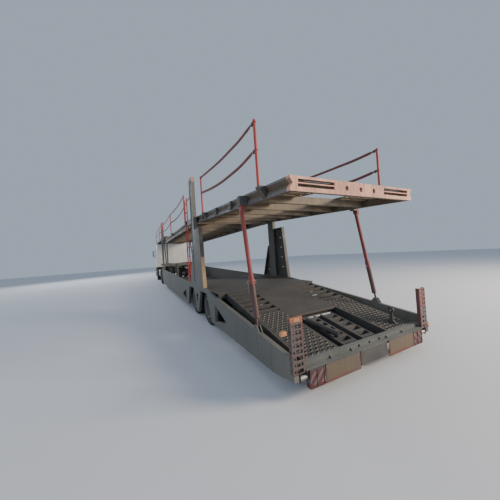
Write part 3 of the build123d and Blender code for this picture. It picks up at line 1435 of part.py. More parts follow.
def fifth_wheel():
    """The coupling plate with its slot for the kingpin, on two pedestals."""
    top = COUPLING_Z - SEAT
    low = top - PLATE_H
    rear = KINGPIN - PLATE_R
    plate = rod((KINGPIN, 0, low), (KINGPIN, 0, top), PLATE_R)
    plate = plate & block(rear + PLATE_TRIM, KINGPIN + PLATE_R, -PLATE_HALF, PLATE_HALF, low, top)
    throat = rod((KINGPIN, 0, low - 1), (KINGPIN, 0, top + 1), KINGPIN_R + SEAT)
    slot = block(rear, KINGPIN, -KINGPIN_R - SEAT, KINGPIN_R + SEAT, low - 1, top + 1)
    neck = KINGPIN - THROAT_RUN
    mouth = plan_shape([(rear, -MOUTH_HALF), (neck, -KINGPIN_R), (neck, KINGPIN_R), (rear, MOUTH_HALF)],
        low - 1, top + 1)
    plate = plate.cut(throat, slot, mouth)
    feet = [
        block(KINGPIN - PEDESTAL, KINGPIN + PEDESTAL, *sorted((side * PEDESTAL_IN, side * PEDESTAL_OUT)),
            FRAME_TOP + SEAT, low + 1)
        for side in (-1, 1)
    ]
    return joined([plate] + feet)


def side_box(x0, x1, straps):
    """A rounded box outboard of the left rail on two brackets, with straps round it."""
    def outline(grow):
        y0, y1, z0, z1 = TANK_IN - grow, TANK_OUT + grow, TANK_LOW - grow, TANK_TOP + grow
        return [(y0, z0), (y1, z0), (y1, z1), (y0, z1)]

    pieces = [end_shape(outline(0), x0, x1, TANK_R)]
    for index in range(straps):
        x = x0 + (index + 1) * (x1 - x0) / (straps + 1)
        pieces.append(end_shape(outline(STRAP_T), x - STRAP_HALF, x + STRAP_HALF, TANK_R + STRAP_T))
    for x in (x0 + BRACKET_END, x1 - BRACKET_END):
        pieces.append(block(x - BRACKET_HALF, x + BRACKET_HALF, FRAME_OUT + SEAT, TANK_IN + BRACKET_HALF,
            BRACKET_LOW, BRACKET_TOP))
    return joined(pieces)


def tanks():
    """The fuel tank with its filler on the left, and the tool box and silencer on the right."""
    cap_x = TANK_FRONT - TANK_R * 3
    cap_y = TANK_OUT - TANK_R * 2
    cap = rod((cap_x, cap_y, TANK_TOP - 1), (cap_x, cap_y, TANK_TOP + CAP_H), CAP_R)
    fuel = joined([side_box(TANK_REAR, TANK_FRONT, 3), cap])
    split = TANK_REAR + (TANK_FRONT - TANK_REAR) * BOX_SHARE
    tools = side_box(TANK_REAR, split - BOX_APART, 0)
    silencer = side_box(split, TANK_FRONT, 2)
    return [fuel, mirrored(tools), mirrored(silencer)]


def arc_guard(x, radius, y0, y1, low):
    """The part of a ring over a wheel that lies above a height."""
    arc = ring((x, (y0 + y1) / 2, TYRE_R), (0, 1, 0), radius + GUARD_T, radius, y1 - y0)
    return arc & block(x - 2 * radius, x + 2 * radius, y0, y1, low, TYRE_R + 2 * radius)


def mudguards():
    """Guards over the driven wheels, on stays from the frame, and arches under the cab's floor."""
    guards = []
    z = TYRE_R
    y0, y1 = GUARD_IN, DRIVE_OUT + GUARD_T
    pieces = [arc_guard(DRIVE_AXLE, GUARD_R, y0, y1, z + GUARD_LOW)]
    for reach in (-GUARD_STAY, GUARD_STAY):
        up = z + sqrt((GUARD_R + GUARD_T / 2) ** 2 - reach ** 2)
        x = DRIVE_AXLE + reach
        pieces.append(rod((x, FRAME_OUT + SEAT, up), (x, y0 + GUARD_LOW, up), GUARD_T * 2))
    for x in (DRIVE_AXLE - GUARD_R - GUARD_T / 2, DRIVE_AXLE + GUARD_R + GUARD_T / 2):
        low = z + GUARD_LOW
        pieces.append(block(x - GUARD_T / 2, x + GUARD_T / 2, y0, y1, low - FLAP_DROP, low + GUARD_LOW / 2))
    arch = arc_guard(STEER_AXLE, ARCH_R, KNUCKLE_Y, CAB_HALF - GUARD_T, z + ARCH_LOW)
    for guard in (joined(pieces), arch):
        guards += [guard, mirrored(guard)]
    return guards


def cab_volume(inset):
    """The cab's closed outer form, drawn in by a distance all round."""
    half = CAB_HALF - inset
    rear, front = CAB_REAR + inset, CAB_FRONT - inset
    floor, roof = CAB_FLOOR + inset, CAB_ROOF - inset
    side = side_shape(
        [
            (rear, floor), (rear, roof), (front - SCREEN_RAKE - ROOF_RAKE, roof),
            (front - SCREEN_RAKE, SCREEN_TOP),
            (front, SCREEN_LOW), (front, floor),
        ],
        -half, half, max(EDGE_R - inset, 0),
    )
    corners = [(rear, -half), (front, -half), (front, half), (rear, half)]
    plan = plan_shape(corners, floor, roof, max(CORNER_R - inset, 0))
    below = floor - 2 * ROOF_R
    end = end_shape(
        [
            (-half, below), (half, below), (half, SCREEN_LOW), (half - TUMBLE, roof),
            (-half + TUMBLE, roof), (-half, SCREEN_LOW),
        ],
        rear, front, max(ROOF_R - inset, 0),
    )
    return side & plan & end


def door_prism(gap):
    """The door's outline pushed through the left wall, drawn in by a gap."""
    points = [
        (DOOR_REAR + gap, DOOR_LOW + gap), (DOOR_FRONT - gap, DOOR_LOW + gap),
        (DOOR_FRONT - gap, SCREEN_LOW + DOOR_KNEE),
        (DOOR_FRONT - DOOR_LEAN - gap, DOOR_TOP - gap), (DOOR_REAR + gap, DOOR_TOP - gap),
    ]
    return side_shape(points, CAB_HALF - THROUGH, CAB_HALF + CAB_WALL, DOOR_R)


def door_window(gap):
    """The window's outline pushed through the left door, drawn in by a gap."""
    rear, front = DOOR_REAR + DOOR_FRAME + gap, DOOR_FRONT - DOOR_FRAME - gap
    low, top = SCREEN_LOW + WINDOW_UP + gap, DOOR_TOP - DOOR_FRAME - gap
    points = [(rear, low), (front, low), (front, SCREEN_LOW + 2 * DOOR_KNEE), (front - DOOR_LEAN, top),
        (rear, top)]
    return side_shape(points, CAB_HALF - THROUGH, CAB_HALF + CAB_WALL, WINDOW_R)


def hinge_part(z0, z1, reach):
    """One barrel of a door hinge with its leaf, which reaches back or forward."""
    barrel = rod((HINGE_X, HINGE_Y, z0), (HINGE_X, HINGE_Y, z1), HINGE_R)
    x0, x1 = sorted((HINGE_X, HINGE_X + reach))
    leaf = block(x0, x1, CAB_HALF + 1, CAB_HALF + LEAF_T, z0, z1)
    foot_x = sorted((HINGE_X + reach * 0.3, HINGE_X + reach))
    foot = block(*foot_x, CAB_HALF - LEAF_T, CAB_HALF + LEAF_T, z0, z1)
    return joined([barrel, leaf, foot])


def door():
    """The left door, as thick as the wall, with its hinge barrels."""
    wall = (cab_volume(0) - cab_volume(CAB_WALL)) & door_prism(DOOR_GAP)
    pieces = [wall - door_window(0)]
    for z in HINGE_Z:
        pieces.append(hinge_part(z - HINGE_HALF + SEAT, z + HINGE_HALF - SEAT, -LEAF_LONG))
    return joined(pieces)


def screen_prism(inset):
    """The windscreen's outline pushed through the front wall."""
    half, top_half = SCREEN_HALF - inset, SCREEN_HALF - SCREEN_FRAME - inset
    low, top = SCREEN_LOW + SCREEN_FRAME + inset, SCREEN_TOP - SCREEN_FRAME - inset
    points = [(-half, low), (half, low), (top_half, top), (-top_half, top)]
    return end_shape(points, CAB_FRONT - THROUGH - SCREEN_RAKE, CAB_FRONT + CAB_WALL, SCREEN_FRAME)


def tunnel(inset, drop):
    """The engine tunnel in the cab's floor, drawn in by a distance."""
    return block(
        TUNNEL_REAR + inset, TUNNEL_FRONT - inset, -TUNNEL_HALF + inset, TUNNEL_HALF - inset,
        CAB_FLOOR - drop, TUNNEL_TOP - inset,
    )


def cab_shell():
    """The hollow cab with door and windscreen openings, engine tunnel and hinge barrels."""
    shell = cab_volume(0) - cab_volume(CAB_WALL)
    shell = joined([shell, tunnel(0, 0)])
    left_door = door_prism(0)
    shell = shell.cut(tunnel(CAB_WALL, CAB_WALL), left_door, mirrored(left_door), screen_prism(0))
    hinges = []
    for z in HINGE_Z:
        for z0, z1 in ((z - HINGE_REACH, z - HINGE_HALF), (z + HINGE_HALF, z + HINGE_REACH)):
            barrel = hinge_part(z0, z1, LEAF_LONG)
            hinges += [barrel, mirrored(barrel)]
    return joined([shell] + hinges)


def windscreen():
    """The bonded windscreen, set just inside the skin."""
    skin = cab_volume(GLASS_IN) - cab_volume(GLASS_IN + GLASS_T)
    return skin & screen_prism(SEAT)


def dashboard():
    """The dashboard with the steering column, the wheel and its spoke."""
    front = CAB_FRONT - CAB_WALL - DASH_GAP
    rear = front - DASH_DEEP
    half = CAB_HALF - CAB_WALL - TUMBLE
    outline = [(rear, DASH_LOW), (rear + DASH_GAP, DASH_TOP), (front, DASH_TOP),
        (front, DASH_LOW - DASH_GAP)]
    dash = side_shape(outline, -half, half, DASH_R)
    at = (rear - WHEEL_BACK, SEAT_Y, DASH_TOP + DASH_GAP)
    column = rod((rear + WHEEL_BACK, SEAT_Y, DASH_LOW + 2 * DASH_GAP), at, COLUMN_R)
    plane = Plane(origin=at, z_dir=(-sin(radians(WHEEL_TILT)), 0, cos(radians(WHEEL_TILT))))
    wheel = plane * Torus(WHEEL_R, WHEEL_RIM_R)
    spoke = plane * Box(SPOKE_W, 2 * WHEEL_R, WHEEL_RIM_R)
    return joined([dash, column, wheel, spoke])


def driver_seat(y):
    """One seat: pedestal, cushion and a leaning back."""
    floor = CAB_FLOOR + CAB_WALL + SEAT
    rear = DOOR_REAR + SEAT_AHEAD
    cushion = floor + CUSHION_LOW
    back = [
        (rear, cushion + CUSHION_T / 2), (rear - BACK_LEAN, floor + BACK_TOP),
        (rear - BACK_LEAN + CUSHION_T, floor + BACK_TOP), (rear + CUSHION_T, cushion + CUSHION_T / 2),
    ]
    return joined([
        block(rear, rear + CUSHION_LONG, y - SEAT_HALF, y + SEAT_HALF, cushion, cushion + CUSHION_T),
        side_shape(back, y - SEAT_HALF, y + SEAT_HALF),
        block(rear + CUSHION_T, rear + CUSHION_LONG - CUSHION_T, y - SEAT_HALF / 2, y + SEAT_HALF / 2,
            floor, cushion + 1),
    ])


def cab_interior():
    """Dashboard with steering wheel, two seats and the bunk."""
    floor = CAB_FLOOR + CAB_WALL + SEAT
    rear = CAB_REAR + CAB_WALL + SEAT
    half = CAB_HALF - CAB_WALL - TUMBLE
    bunk = block(rear, rear + BUNK_DEEP, -half, half, floor + BUNK_LOW, floor + BUNK_LOW + BUNK_T)
    return [dashboard(), driver_seat(SEAT_Y), driver_seat(-SEAT_Y), bunk]


def cab_trim():
    """The slatted grille, the visor over the windscreen, and the panels behind the front wheels."""
    face = CAB_FRONT + SEAT
    front = face + GRILLE_DEEP
    pitch = (GRILLE_TOP - GRILLE_LOW) / GRILLE_SLATS
    slats = []
    for index in range(GRILLE_SLATS):
        z = GRILLE_LOW + index * pitch
        blade = [(face, z), (face, z + pitch / 4), (front, z + pitch * 5 / 8), (front, z + pitch * 3 / 8)]
        slats.append(side_shape(blade, -GRILLE_HALF, GRILLE_HALF))
    for y in (-GRILLE_HALF, 0, GRILLE_HALF):
        slats.append(block(face, front, y - GRILLE_BAR, y + GRILLE_BAR, GRILLE_LOW - GRILLE_BAR,
            GRILLE_TOP))
    slope_x, slope_rise = ROOF_RAKE, CAB_ROOF - SCREEN_TOP
    length = sqrt(slope_x ** 2 + slope_rise ** 2)
    off_x, off_z = SEAT * slope_rise / length, SEAT * slope_x / length

    def roof_edge(share):
        return (
            CAB_FRONT - SCREEN_RAKE - share * slope_x + off_x, SCREEN_TOP + share * slope_rise + off_z,
        )

    tip_x, tip_z = CAB_FRONT + VISOR_OUT, SCREEN_TOP - VISOR_DROP
    visor = side_shape([roof_edge(0.1), roof_edge(0.25), (tip_x, tip_z + VISOR_T), (tip_x, tip_z)],
        -VISOR_HALF, VISOR_HALF)
    rear = CAB_REAR + SEAT
    panel = [
        (rear, SKIRT_LOW), (rear, CAB_FLOOR - SEAT), (STEER_AXLE - SKIRT_CLEAR, CAB_FLOOR - SEAT),
        (STEER_AXLE - SKIRT_CLEAR, SKIRT_LOW),
    ]
    skirt = side_shape(panel, KNUCKLE_Y, CAB_HALF) - side_shape(
        [(x, z) for x, z in (
            (rear - 1, SKIRT_LOW + BUMPER_T), (rear - 1, CAB_FLOOR - BUMPER_T),
            (STEER_AXLE - SKIRT_CLEAR - BUMPER_T, CAB_FLOOR - BUMPER_T),
            (STEER_AXLE - SKIRT_CLEAR - BUMPER_T, SKIRT_LOW + BUMPER_T),
        )],
        KNUCKLE_Y - 1, CAB_HALF - BUMPER_T / 2,
    )
    return [joined(slats), visor, skirt, mirrored(skirt)]


def bumper():
    """The wrap-round bumper with cooling slots, entry steps in its sides and pockets for the lamps."""
    rear = STEER_AXLE + BUMPER_CLEAR
    top = CAB_FLOOR - BUMPER_GAP
    corners = [(rear, -CAB_HALF), (FRONT, -CAB_HALF), (FRONT, CAB_HALF), (rear, CAB_HALF)]
    outer = plan_shape(corners, BUMPER_LOW, top, BUMPER_R)
    inside = CAB_HALF - BUMPER_T
    hollow = block(rear - 1, FRONT - BUMPER_T, -inside, inside, BUMPER_LOW - 1, top + 1)
    pieces = [outer - hollow]
    cuts = [lamp_block(side, SEAT) for side in (-1, 1)]
    for index in range(SLOT_COUNT):
        z = BUMPER_LOW + (index + 1) * SLOT_PITCH
        cuts.append(block(FRONT - BUMPER_T - 1, FRONT + 1, -SLOT_HALF_Y, SLOT_HALF_Y, z,
            z + SLOT_PITCH / 2))
    for side in (-1, 1):
        pieces.append(block(rear, rear + BUMPER_R, *sorted((side * inside, side * CAB_HALF)), BUMPER_LOW,
            top))
        for low in STEP_LOWS:
            x0, x1 = rear + BUMPER_R + STEP_IN, FRONT - BUMPER_R - BUMPER_T - STEP_IN
            y0, y1 = sorted((side * (inside - STEP_DEEP), side * (CAB_HALF - SEAT)))
            pieces.append(block(x0, x1, y0, y1, low - STEP_T, low))
            ya, yb = sorted((side * (inside - 1), side * (CAB_HALF + 1)))
            cuts.append(block(x0, x1, ya, yb, low, low + STEP_H))
    return joined(pieces).cut(*cuts)


def lamp_block(side, grow):
    """One headlamp body, or its pocket when grown."""
    y0, y1 = sorted((side * LAMP_IN, side * LAMP_OUT))
    y0, y1, z0, z1 = y0 - grow, y1 + grow, LAMP_LOW - grow, LAMP_LOW + LAMP_H + grow
    outline = [(y0, z0), (y1, z0), (y1, z1), (y0, z1)]
    return end_shape(outline, FRONT - LAMP_DEEP - grow, FRONT - 2 + grow * SIDE_GAP, LAMP_R + grow)


def wall_y(z):
    """How far out the cab's side wall is at a height above the waist."""
    return CAB_HALF - TUMBLE * (z - SCREEN_LOW) / (CAB_ROOF - SCREEN_LOW)


def mirrors():
    """The mirror housings on their arms from the front pillars."""
    y0, y1 = CAB_HALF + MIRROR_GAP, CAB_HALF + MIRROR_GAP + MIRROR_W
    corners = [(y0, MIRROR_LOW), (y1, MIRROR_LOW), (y1, MIRROR_LOW + MIRROR_H), (y0, MIRROR_LOW + MIRROR_H)]
    pieces = [end_shape(corners, MIRROR_X - MIRROR_HALF, MIRROR_X + MIRROR_HALF, MIRROR_R)]
    for low in (MIRROR_LOW + MIRROR_ARM, MIRROR_LOW + MIRROR_H - 3 * MIRROR_ARM / 2):
        arm = MIRROR_ARM / 4
        pieces.append(block(MIRROR_X - arm, MIRROR_X + arm, wall_y(low) + SEAT, y0 + arm, low,
            low + 2 * arm))
    whole = joined(pieces)
    return [whole, mirrored(whole)]


def rear_eye():
    """The lifting eye on the right of the rear deck: a sloping foot, a stem and a round head."""
    y0, y1 = EYE_Y - EYE_T / 2, EYE_Y + EYE_T / 2
    x0, x1 = EYE_X - EYE_HALF, EYE_X + EYE_HALF
    z = slope_z(EYE_X) + EYE_RISE
    stem = [
        (x0, slope_z(x0) + SEAT), (x0, slope_z(x0) + EYE_FOOT),
        (EYE_X - EYE_STEM, slope_z(EYE_X) + 2 * EYE_FOOT),
        (EYE_X - EYE_STEM, z), (EYE_X + EYE_STEM, z), (EYE_X + EYE_STEM, slope_z(EYE_X) + 2 * EYE_FOOT),
        (x1, slope_z(x1) + EYE_FOOT), (x1, slope_z(x1) + SEAT),
    ]
    head = rod((EYE_X, y0, z), (EYE_X, y1, z), EYE_OUTER_R)
    plate = joined([side_shape(stem, y0, y1), head])
    return plate - rod((EYE_X, y0 - EYE_T, z), (EYE_X, y1 + EYE_T, z), EYE_R)


def window_pane():
    """The left door's pane, set just inside the skin."""
    skin = cab_volume(GLASS_IN) - cab_volume(GLASS_IN + GLASS_T)
    return skin & door_window(SEAT)


def engine():
    """The engine as one block on its four mounts."""
    pieces = [block(ENGINE_REAR, ENGINE_FRONT, -ENGINE_HALF, ENGINE_HALF, ENGINE_LOW, ENGINE_TOP)]
    web_y = FRAME_OUT - FRAME_WEB - SEAT
    for x in (ENGINE_REAR + MOUNT_IN, ENGINE_FRONT - MOUNT_IN):
        mount = block(x - MOUNT_HALF, x + MOUNT_HALF, ENGINE_HALF - 1, web_y, MOUNT_LOW,
            MOUNT_LOW + MOUNT_HALF)
        pieces += [mount, mirrored(mount)]
    return joined(pieces)


def both(piece):
    """A left piece and its mirror image."""
    return [piece, mirrored(piece)]


def write_trailer():
    write("side_panels", *both(side_panel()))
    track = rear_track()
    write("rear_tracks", *track, *[mirrored(piece) for piece in track])
    write("stowed_ramps", *stowed_ramps())
    write("lower_deck", *lower_floor(), *crossmembers())
    write("rear_beam", rear_beam())
    write("marker_plates", *marker_plates())
    write("rear_lamps", *rear_lamps())
    write("rear_eye", rear_eye())
    write("corner_posts", *corner_posts())
    write("deck_posts", *deck_posts())
    write("gooseneck", *gooseneck())
    write("landing_legs", *landing_legs())
    write("trailer_axles", *trailer_axles())
    write("access_ladder", *access_ladder())
    write("head_deck", *head_deck())
    write("head_rails", *rail_line(head_stations(), HEAD_HALF - DECK_BEAM_T / 2, 0))


def write_upper_decks():
    write("rear_deck_frame", *rear_deck_in_place())
    write("rear_deck_floor", *[tilt_up(piece) for piece in rear_deck_floor()])
    write("rear_deck_rails", *rail_line(rear_stations(), RAIL_Y, FOOT_UP - SEAT))
    write("rear_stay_left", stay(1))
    write("rear_stay_right", stay(-1))
    write("front_deck_frame", *front_deck_frame(), *rail_feet(front_stations()))
    write("front_deck_floor", *front_deck_floor())
    write("front_deck_rails", *rail_line(front_stations(), RAIL_Y, FOOT_UP - SEAT))


def write_tractor():
    write("chassis", *chassis())
    write("fifth_wheel", fifth_wheel())
    write("engine_block", engine())
    write("front_axle", front_axle())
    write("drive_axle", drive_axle())
    write("tanks", *tanks())
    write("mudguards", *mudguards())
    write("cab_shell", cab_shell())
    write("windscreen", windscreen())
    write("cab_interior", *cab_interior())
    write("bumper", bumper())
    write("cab_trim", *cab_trim())
    write("headlamps", *[lamp_block(side, 0) for side in (-1, 1)])
    write("mirrors", *mirrors())
    left_door, left_pane, left_knuckle = door(), window_pane(), knuckle()
    write("door_left", left_door)
    write("door_right", mirrored(left_door))
    write("door_left_glass", left_pane)
    write("door_right_glass", mirrored(left_pane))
    write("knuckle_left", left_knuckle)
    write("knuckle_right", mirrored(left_knuckle))


def write_wheels():
    for side, hand in ((1, "left"), (-1, "right")):
        steer_wheel(f"steer_{hand}", side)
        twin_wheel(f"drive_{hand}", DRIVE_AXLE, TYRE_R, TYRE_W, RIM_R, DRIVE_OUT, SPINDLE_R, side)
        for place, x in (("rear", TANDEM_REAR), ("front", TANDEM_REAR + TANDEM_SPACING)):
            twin_wheel(
                f"trailer_{place}_{hand}", x, TRAILER_TYRE_R, TRAILER_TYRE_W, TRAILER_RIM_R, TRAILER_OUT,
                TRAILER_SPINDLE_R, side,
            )


def main():
    os.makedirs("parts", exist_ok=True)
    write_trailer()
    write_upper_decks()
    write_tractor()
    write_wheels()


main()
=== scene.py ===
# %% [markdown]
# The car transporter as a lesson in Blender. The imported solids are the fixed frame: every piece
# below is made in metres in that same frame, so nothing is fitted by eye afterwards.
# X runs forward, Y to the left and Z up, with the origin on the ground under the middle.

# %% Load the frame
import json
import math

import bmesh
import bpy
from mathutils import Matrix, Vector


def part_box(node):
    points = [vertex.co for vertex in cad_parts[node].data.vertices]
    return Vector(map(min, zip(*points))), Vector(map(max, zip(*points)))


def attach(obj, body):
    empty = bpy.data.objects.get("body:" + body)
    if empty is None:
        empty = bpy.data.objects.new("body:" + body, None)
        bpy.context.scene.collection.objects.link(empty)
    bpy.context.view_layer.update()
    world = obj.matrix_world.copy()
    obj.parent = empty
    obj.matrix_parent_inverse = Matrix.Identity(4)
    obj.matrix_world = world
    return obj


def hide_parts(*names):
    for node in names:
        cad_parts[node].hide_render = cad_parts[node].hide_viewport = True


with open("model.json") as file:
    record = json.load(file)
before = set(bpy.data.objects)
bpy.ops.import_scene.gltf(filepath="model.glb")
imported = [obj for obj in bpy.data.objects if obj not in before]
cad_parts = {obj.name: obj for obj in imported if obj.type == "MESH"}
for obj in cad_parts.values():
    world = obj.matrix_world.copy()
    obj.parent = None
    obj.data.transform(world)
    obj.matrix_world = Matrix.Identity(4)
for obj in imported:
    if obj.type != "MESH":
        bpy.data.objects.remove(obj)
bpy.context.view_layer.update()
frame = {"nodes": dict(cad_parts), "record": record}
nodes = frame["nodes"]

# %% [markdown]
# The photograph was taken with a phone held at eye height behind the left rear corner. A camera
# fitted to the decks and posts gives its place, its turn and its short focal length. The turn is
# built from three directions, because the phone was also rolled a little to one side.

# %% The camera
SENSOR_MM, LENS_MM = 36.0, 16.272
CAMERA_PLACE = (-11.715, 2.652, 1.622)
YAW, PITCH, ROLL = (math.radians(angle) for angle in (-26.66, 0.98, -3.79))
FARTHEST = 200.0

camera_data = bpy.data.cameras.new("camera")
camera_data.sensor_width = SENSOR_MM
camera_data.lens = LENS_MM
camera_data.clip_end = FARTHEST
camera = bpy.data.objects.new("camera", camera_data)
bpy.context.scene.collection.objects.link(camera)
level = math.cos(PITCH)
forward = Vector((level * math.cos(YAW), level * math.sin(YAW), math.sin(PITCH)))
level_right = Vector((math.sin(YAW), -math.cos(YAW), 0.0))
level_up = level_right.cross(forward)
right = math.cos(ROLL) * level_right + math.sin(ROLL) * level_up
up = -math.sin(ROLL) * level_right + math.cos(ROLL) * level_up
turn = Matrix((right, up, -forward)).transposed().to_4x4()
camera.matrix_world = Matrix.Translation(CAMERA_PLACE) @ turn
bpy.context.scene.camera = camera
print("the camera is", CAMERA_PLACE[2], "m above the ground")

# %% [markdown]
# A plain pale floor and soft studio light. The photograph has a low, warm light from the right and
# behind, with the near side in open shade, so the key light is a wide warm panel on that side, the
# fill on the left is weak and cool, and the even world stays dim enough to keep the shade dark.

# %% Floor and light
FLOOR_SIZE = 90.0
FLOOR_COLOUR, FLOOR_ROUGHNESS = (0.60, 0.63, 0.68, 1.0), 0.9
SKY_COLOUR, SKY_STRENGTH = (0.66, 0.78, 0.95, 1.0), 0.55
# Name, place, point it looks at, width, height, power in watts, colour.
SOFTBOXES = [
    ("key", (-19.0, -12.0, 6.5), (-6.0, 0.0, 1.6), 5.0, 4.0, 4600.0, (1.0, 0.84, 0.66)),
    ("fill", (-12.0, 18.0, 8.0), (-3.0, 0.0, 1.5), 14.0, 8.0, 700.0, (0.85, 0.93, 1.0)),
    ("front", (18.0, 8.0, 9.0), (4.0, 0.0, 1.5), 12.0, 8.0, 1500.0, (1.0, 0.97, 0.94)),
]

bpy.ops.mesh.primitive_plane_add(size=FLOOR_SIZE, location=(0.0, 0.0, 0.0))
floor = bpy.context.object
floor.name = "floor"
floor_paint = bpy.data.materials.new("floor_paint")
floor_paint.use_nodes = True
floor_shader = floor_paint.node_tree.nodes["Principled BSDF"]
floor_shader.inputs["Base Color"].default_value = FLOOR_COLOUR
floor_shader.inputs["Roughness"].default_value = FLOOR_ROUGHNESS
floor.data.materials.append(floor_paint)

world = bpy.data.worlds.new("studio_sky")
world.use_nodes = True
world.node_tree.nodes["Background"].inputs["Color"].default_value = SKY_COLOUR
world.node_tree.nodes["Background"].inputs["Strength"].default_value = SKY_STRENGTH
bpy.context.scene.world = world

for name, place, aim, width, height, power, colour in SOFTBOXES:
    light = bpy.data.lights.new(name, "AREA")
    light.shape = "RECTANGLE"
    light.size, light.size_y = width, height
    light.energy = power
    light.color = colour
    softbox = bpy.data.objects.new(name, light)
    softbox.location = place
    softbox.rotation_mode = "QUATERNION"
    softbox.rotation_quaternion = (Vector(aim) - Vector(place)).to_track_quat("-Z", "Y")
    bpy.context.scene.collection.objects.link(softbox)
print("floor, sky and", len(bpy.data.lights), "lights are set")

# %% [markdown]
# Paint that has stood outside for years is never one colour. This finish starts with a base
# colour and can give parts of a piece another one. Such a zone is a set of ranges: "x", "y" and
# "z" are places, with "y" taken on both sides alike, "side" is Y with its sign, "worn_z" is a
# height with a ragged edge, and "slant" counts along slanted bands. Then a large soft noise fades
# the colour, long thin noise runs down it as dirt streaks, dust lies where a face looks up, and
# small spots of rust or bare metal break it up. Roughness and bump read the same noises, so that
# dust also looks matt.

# %% The finish maker
COLOUR_A, COLOUR_B, COLOUR_OUT = 6, 7, 2  # the colour sockets of a Mix node
BAND_WIDTH = 0.11
RAGGED_BY = 0.05
TOP_DUST, STREAK_DUST, GRAIN_DUST = 1.25, 0.35, 0.55  # how bright the dust colour is in each
GRAIN_AMOUNT = 0.25
# Painted shade: the colour and strength of dark dots that stand in for the holes of a perforated
# plate.
HOLE_PAINTED_SHADE, HOLE_SHADE_AMOUNT = (0.012, 0.011, 0.01), 0.85
MATT_BY, MATT_MOST = 0.3, 0.95
BUMP_DEPTH = 0.002


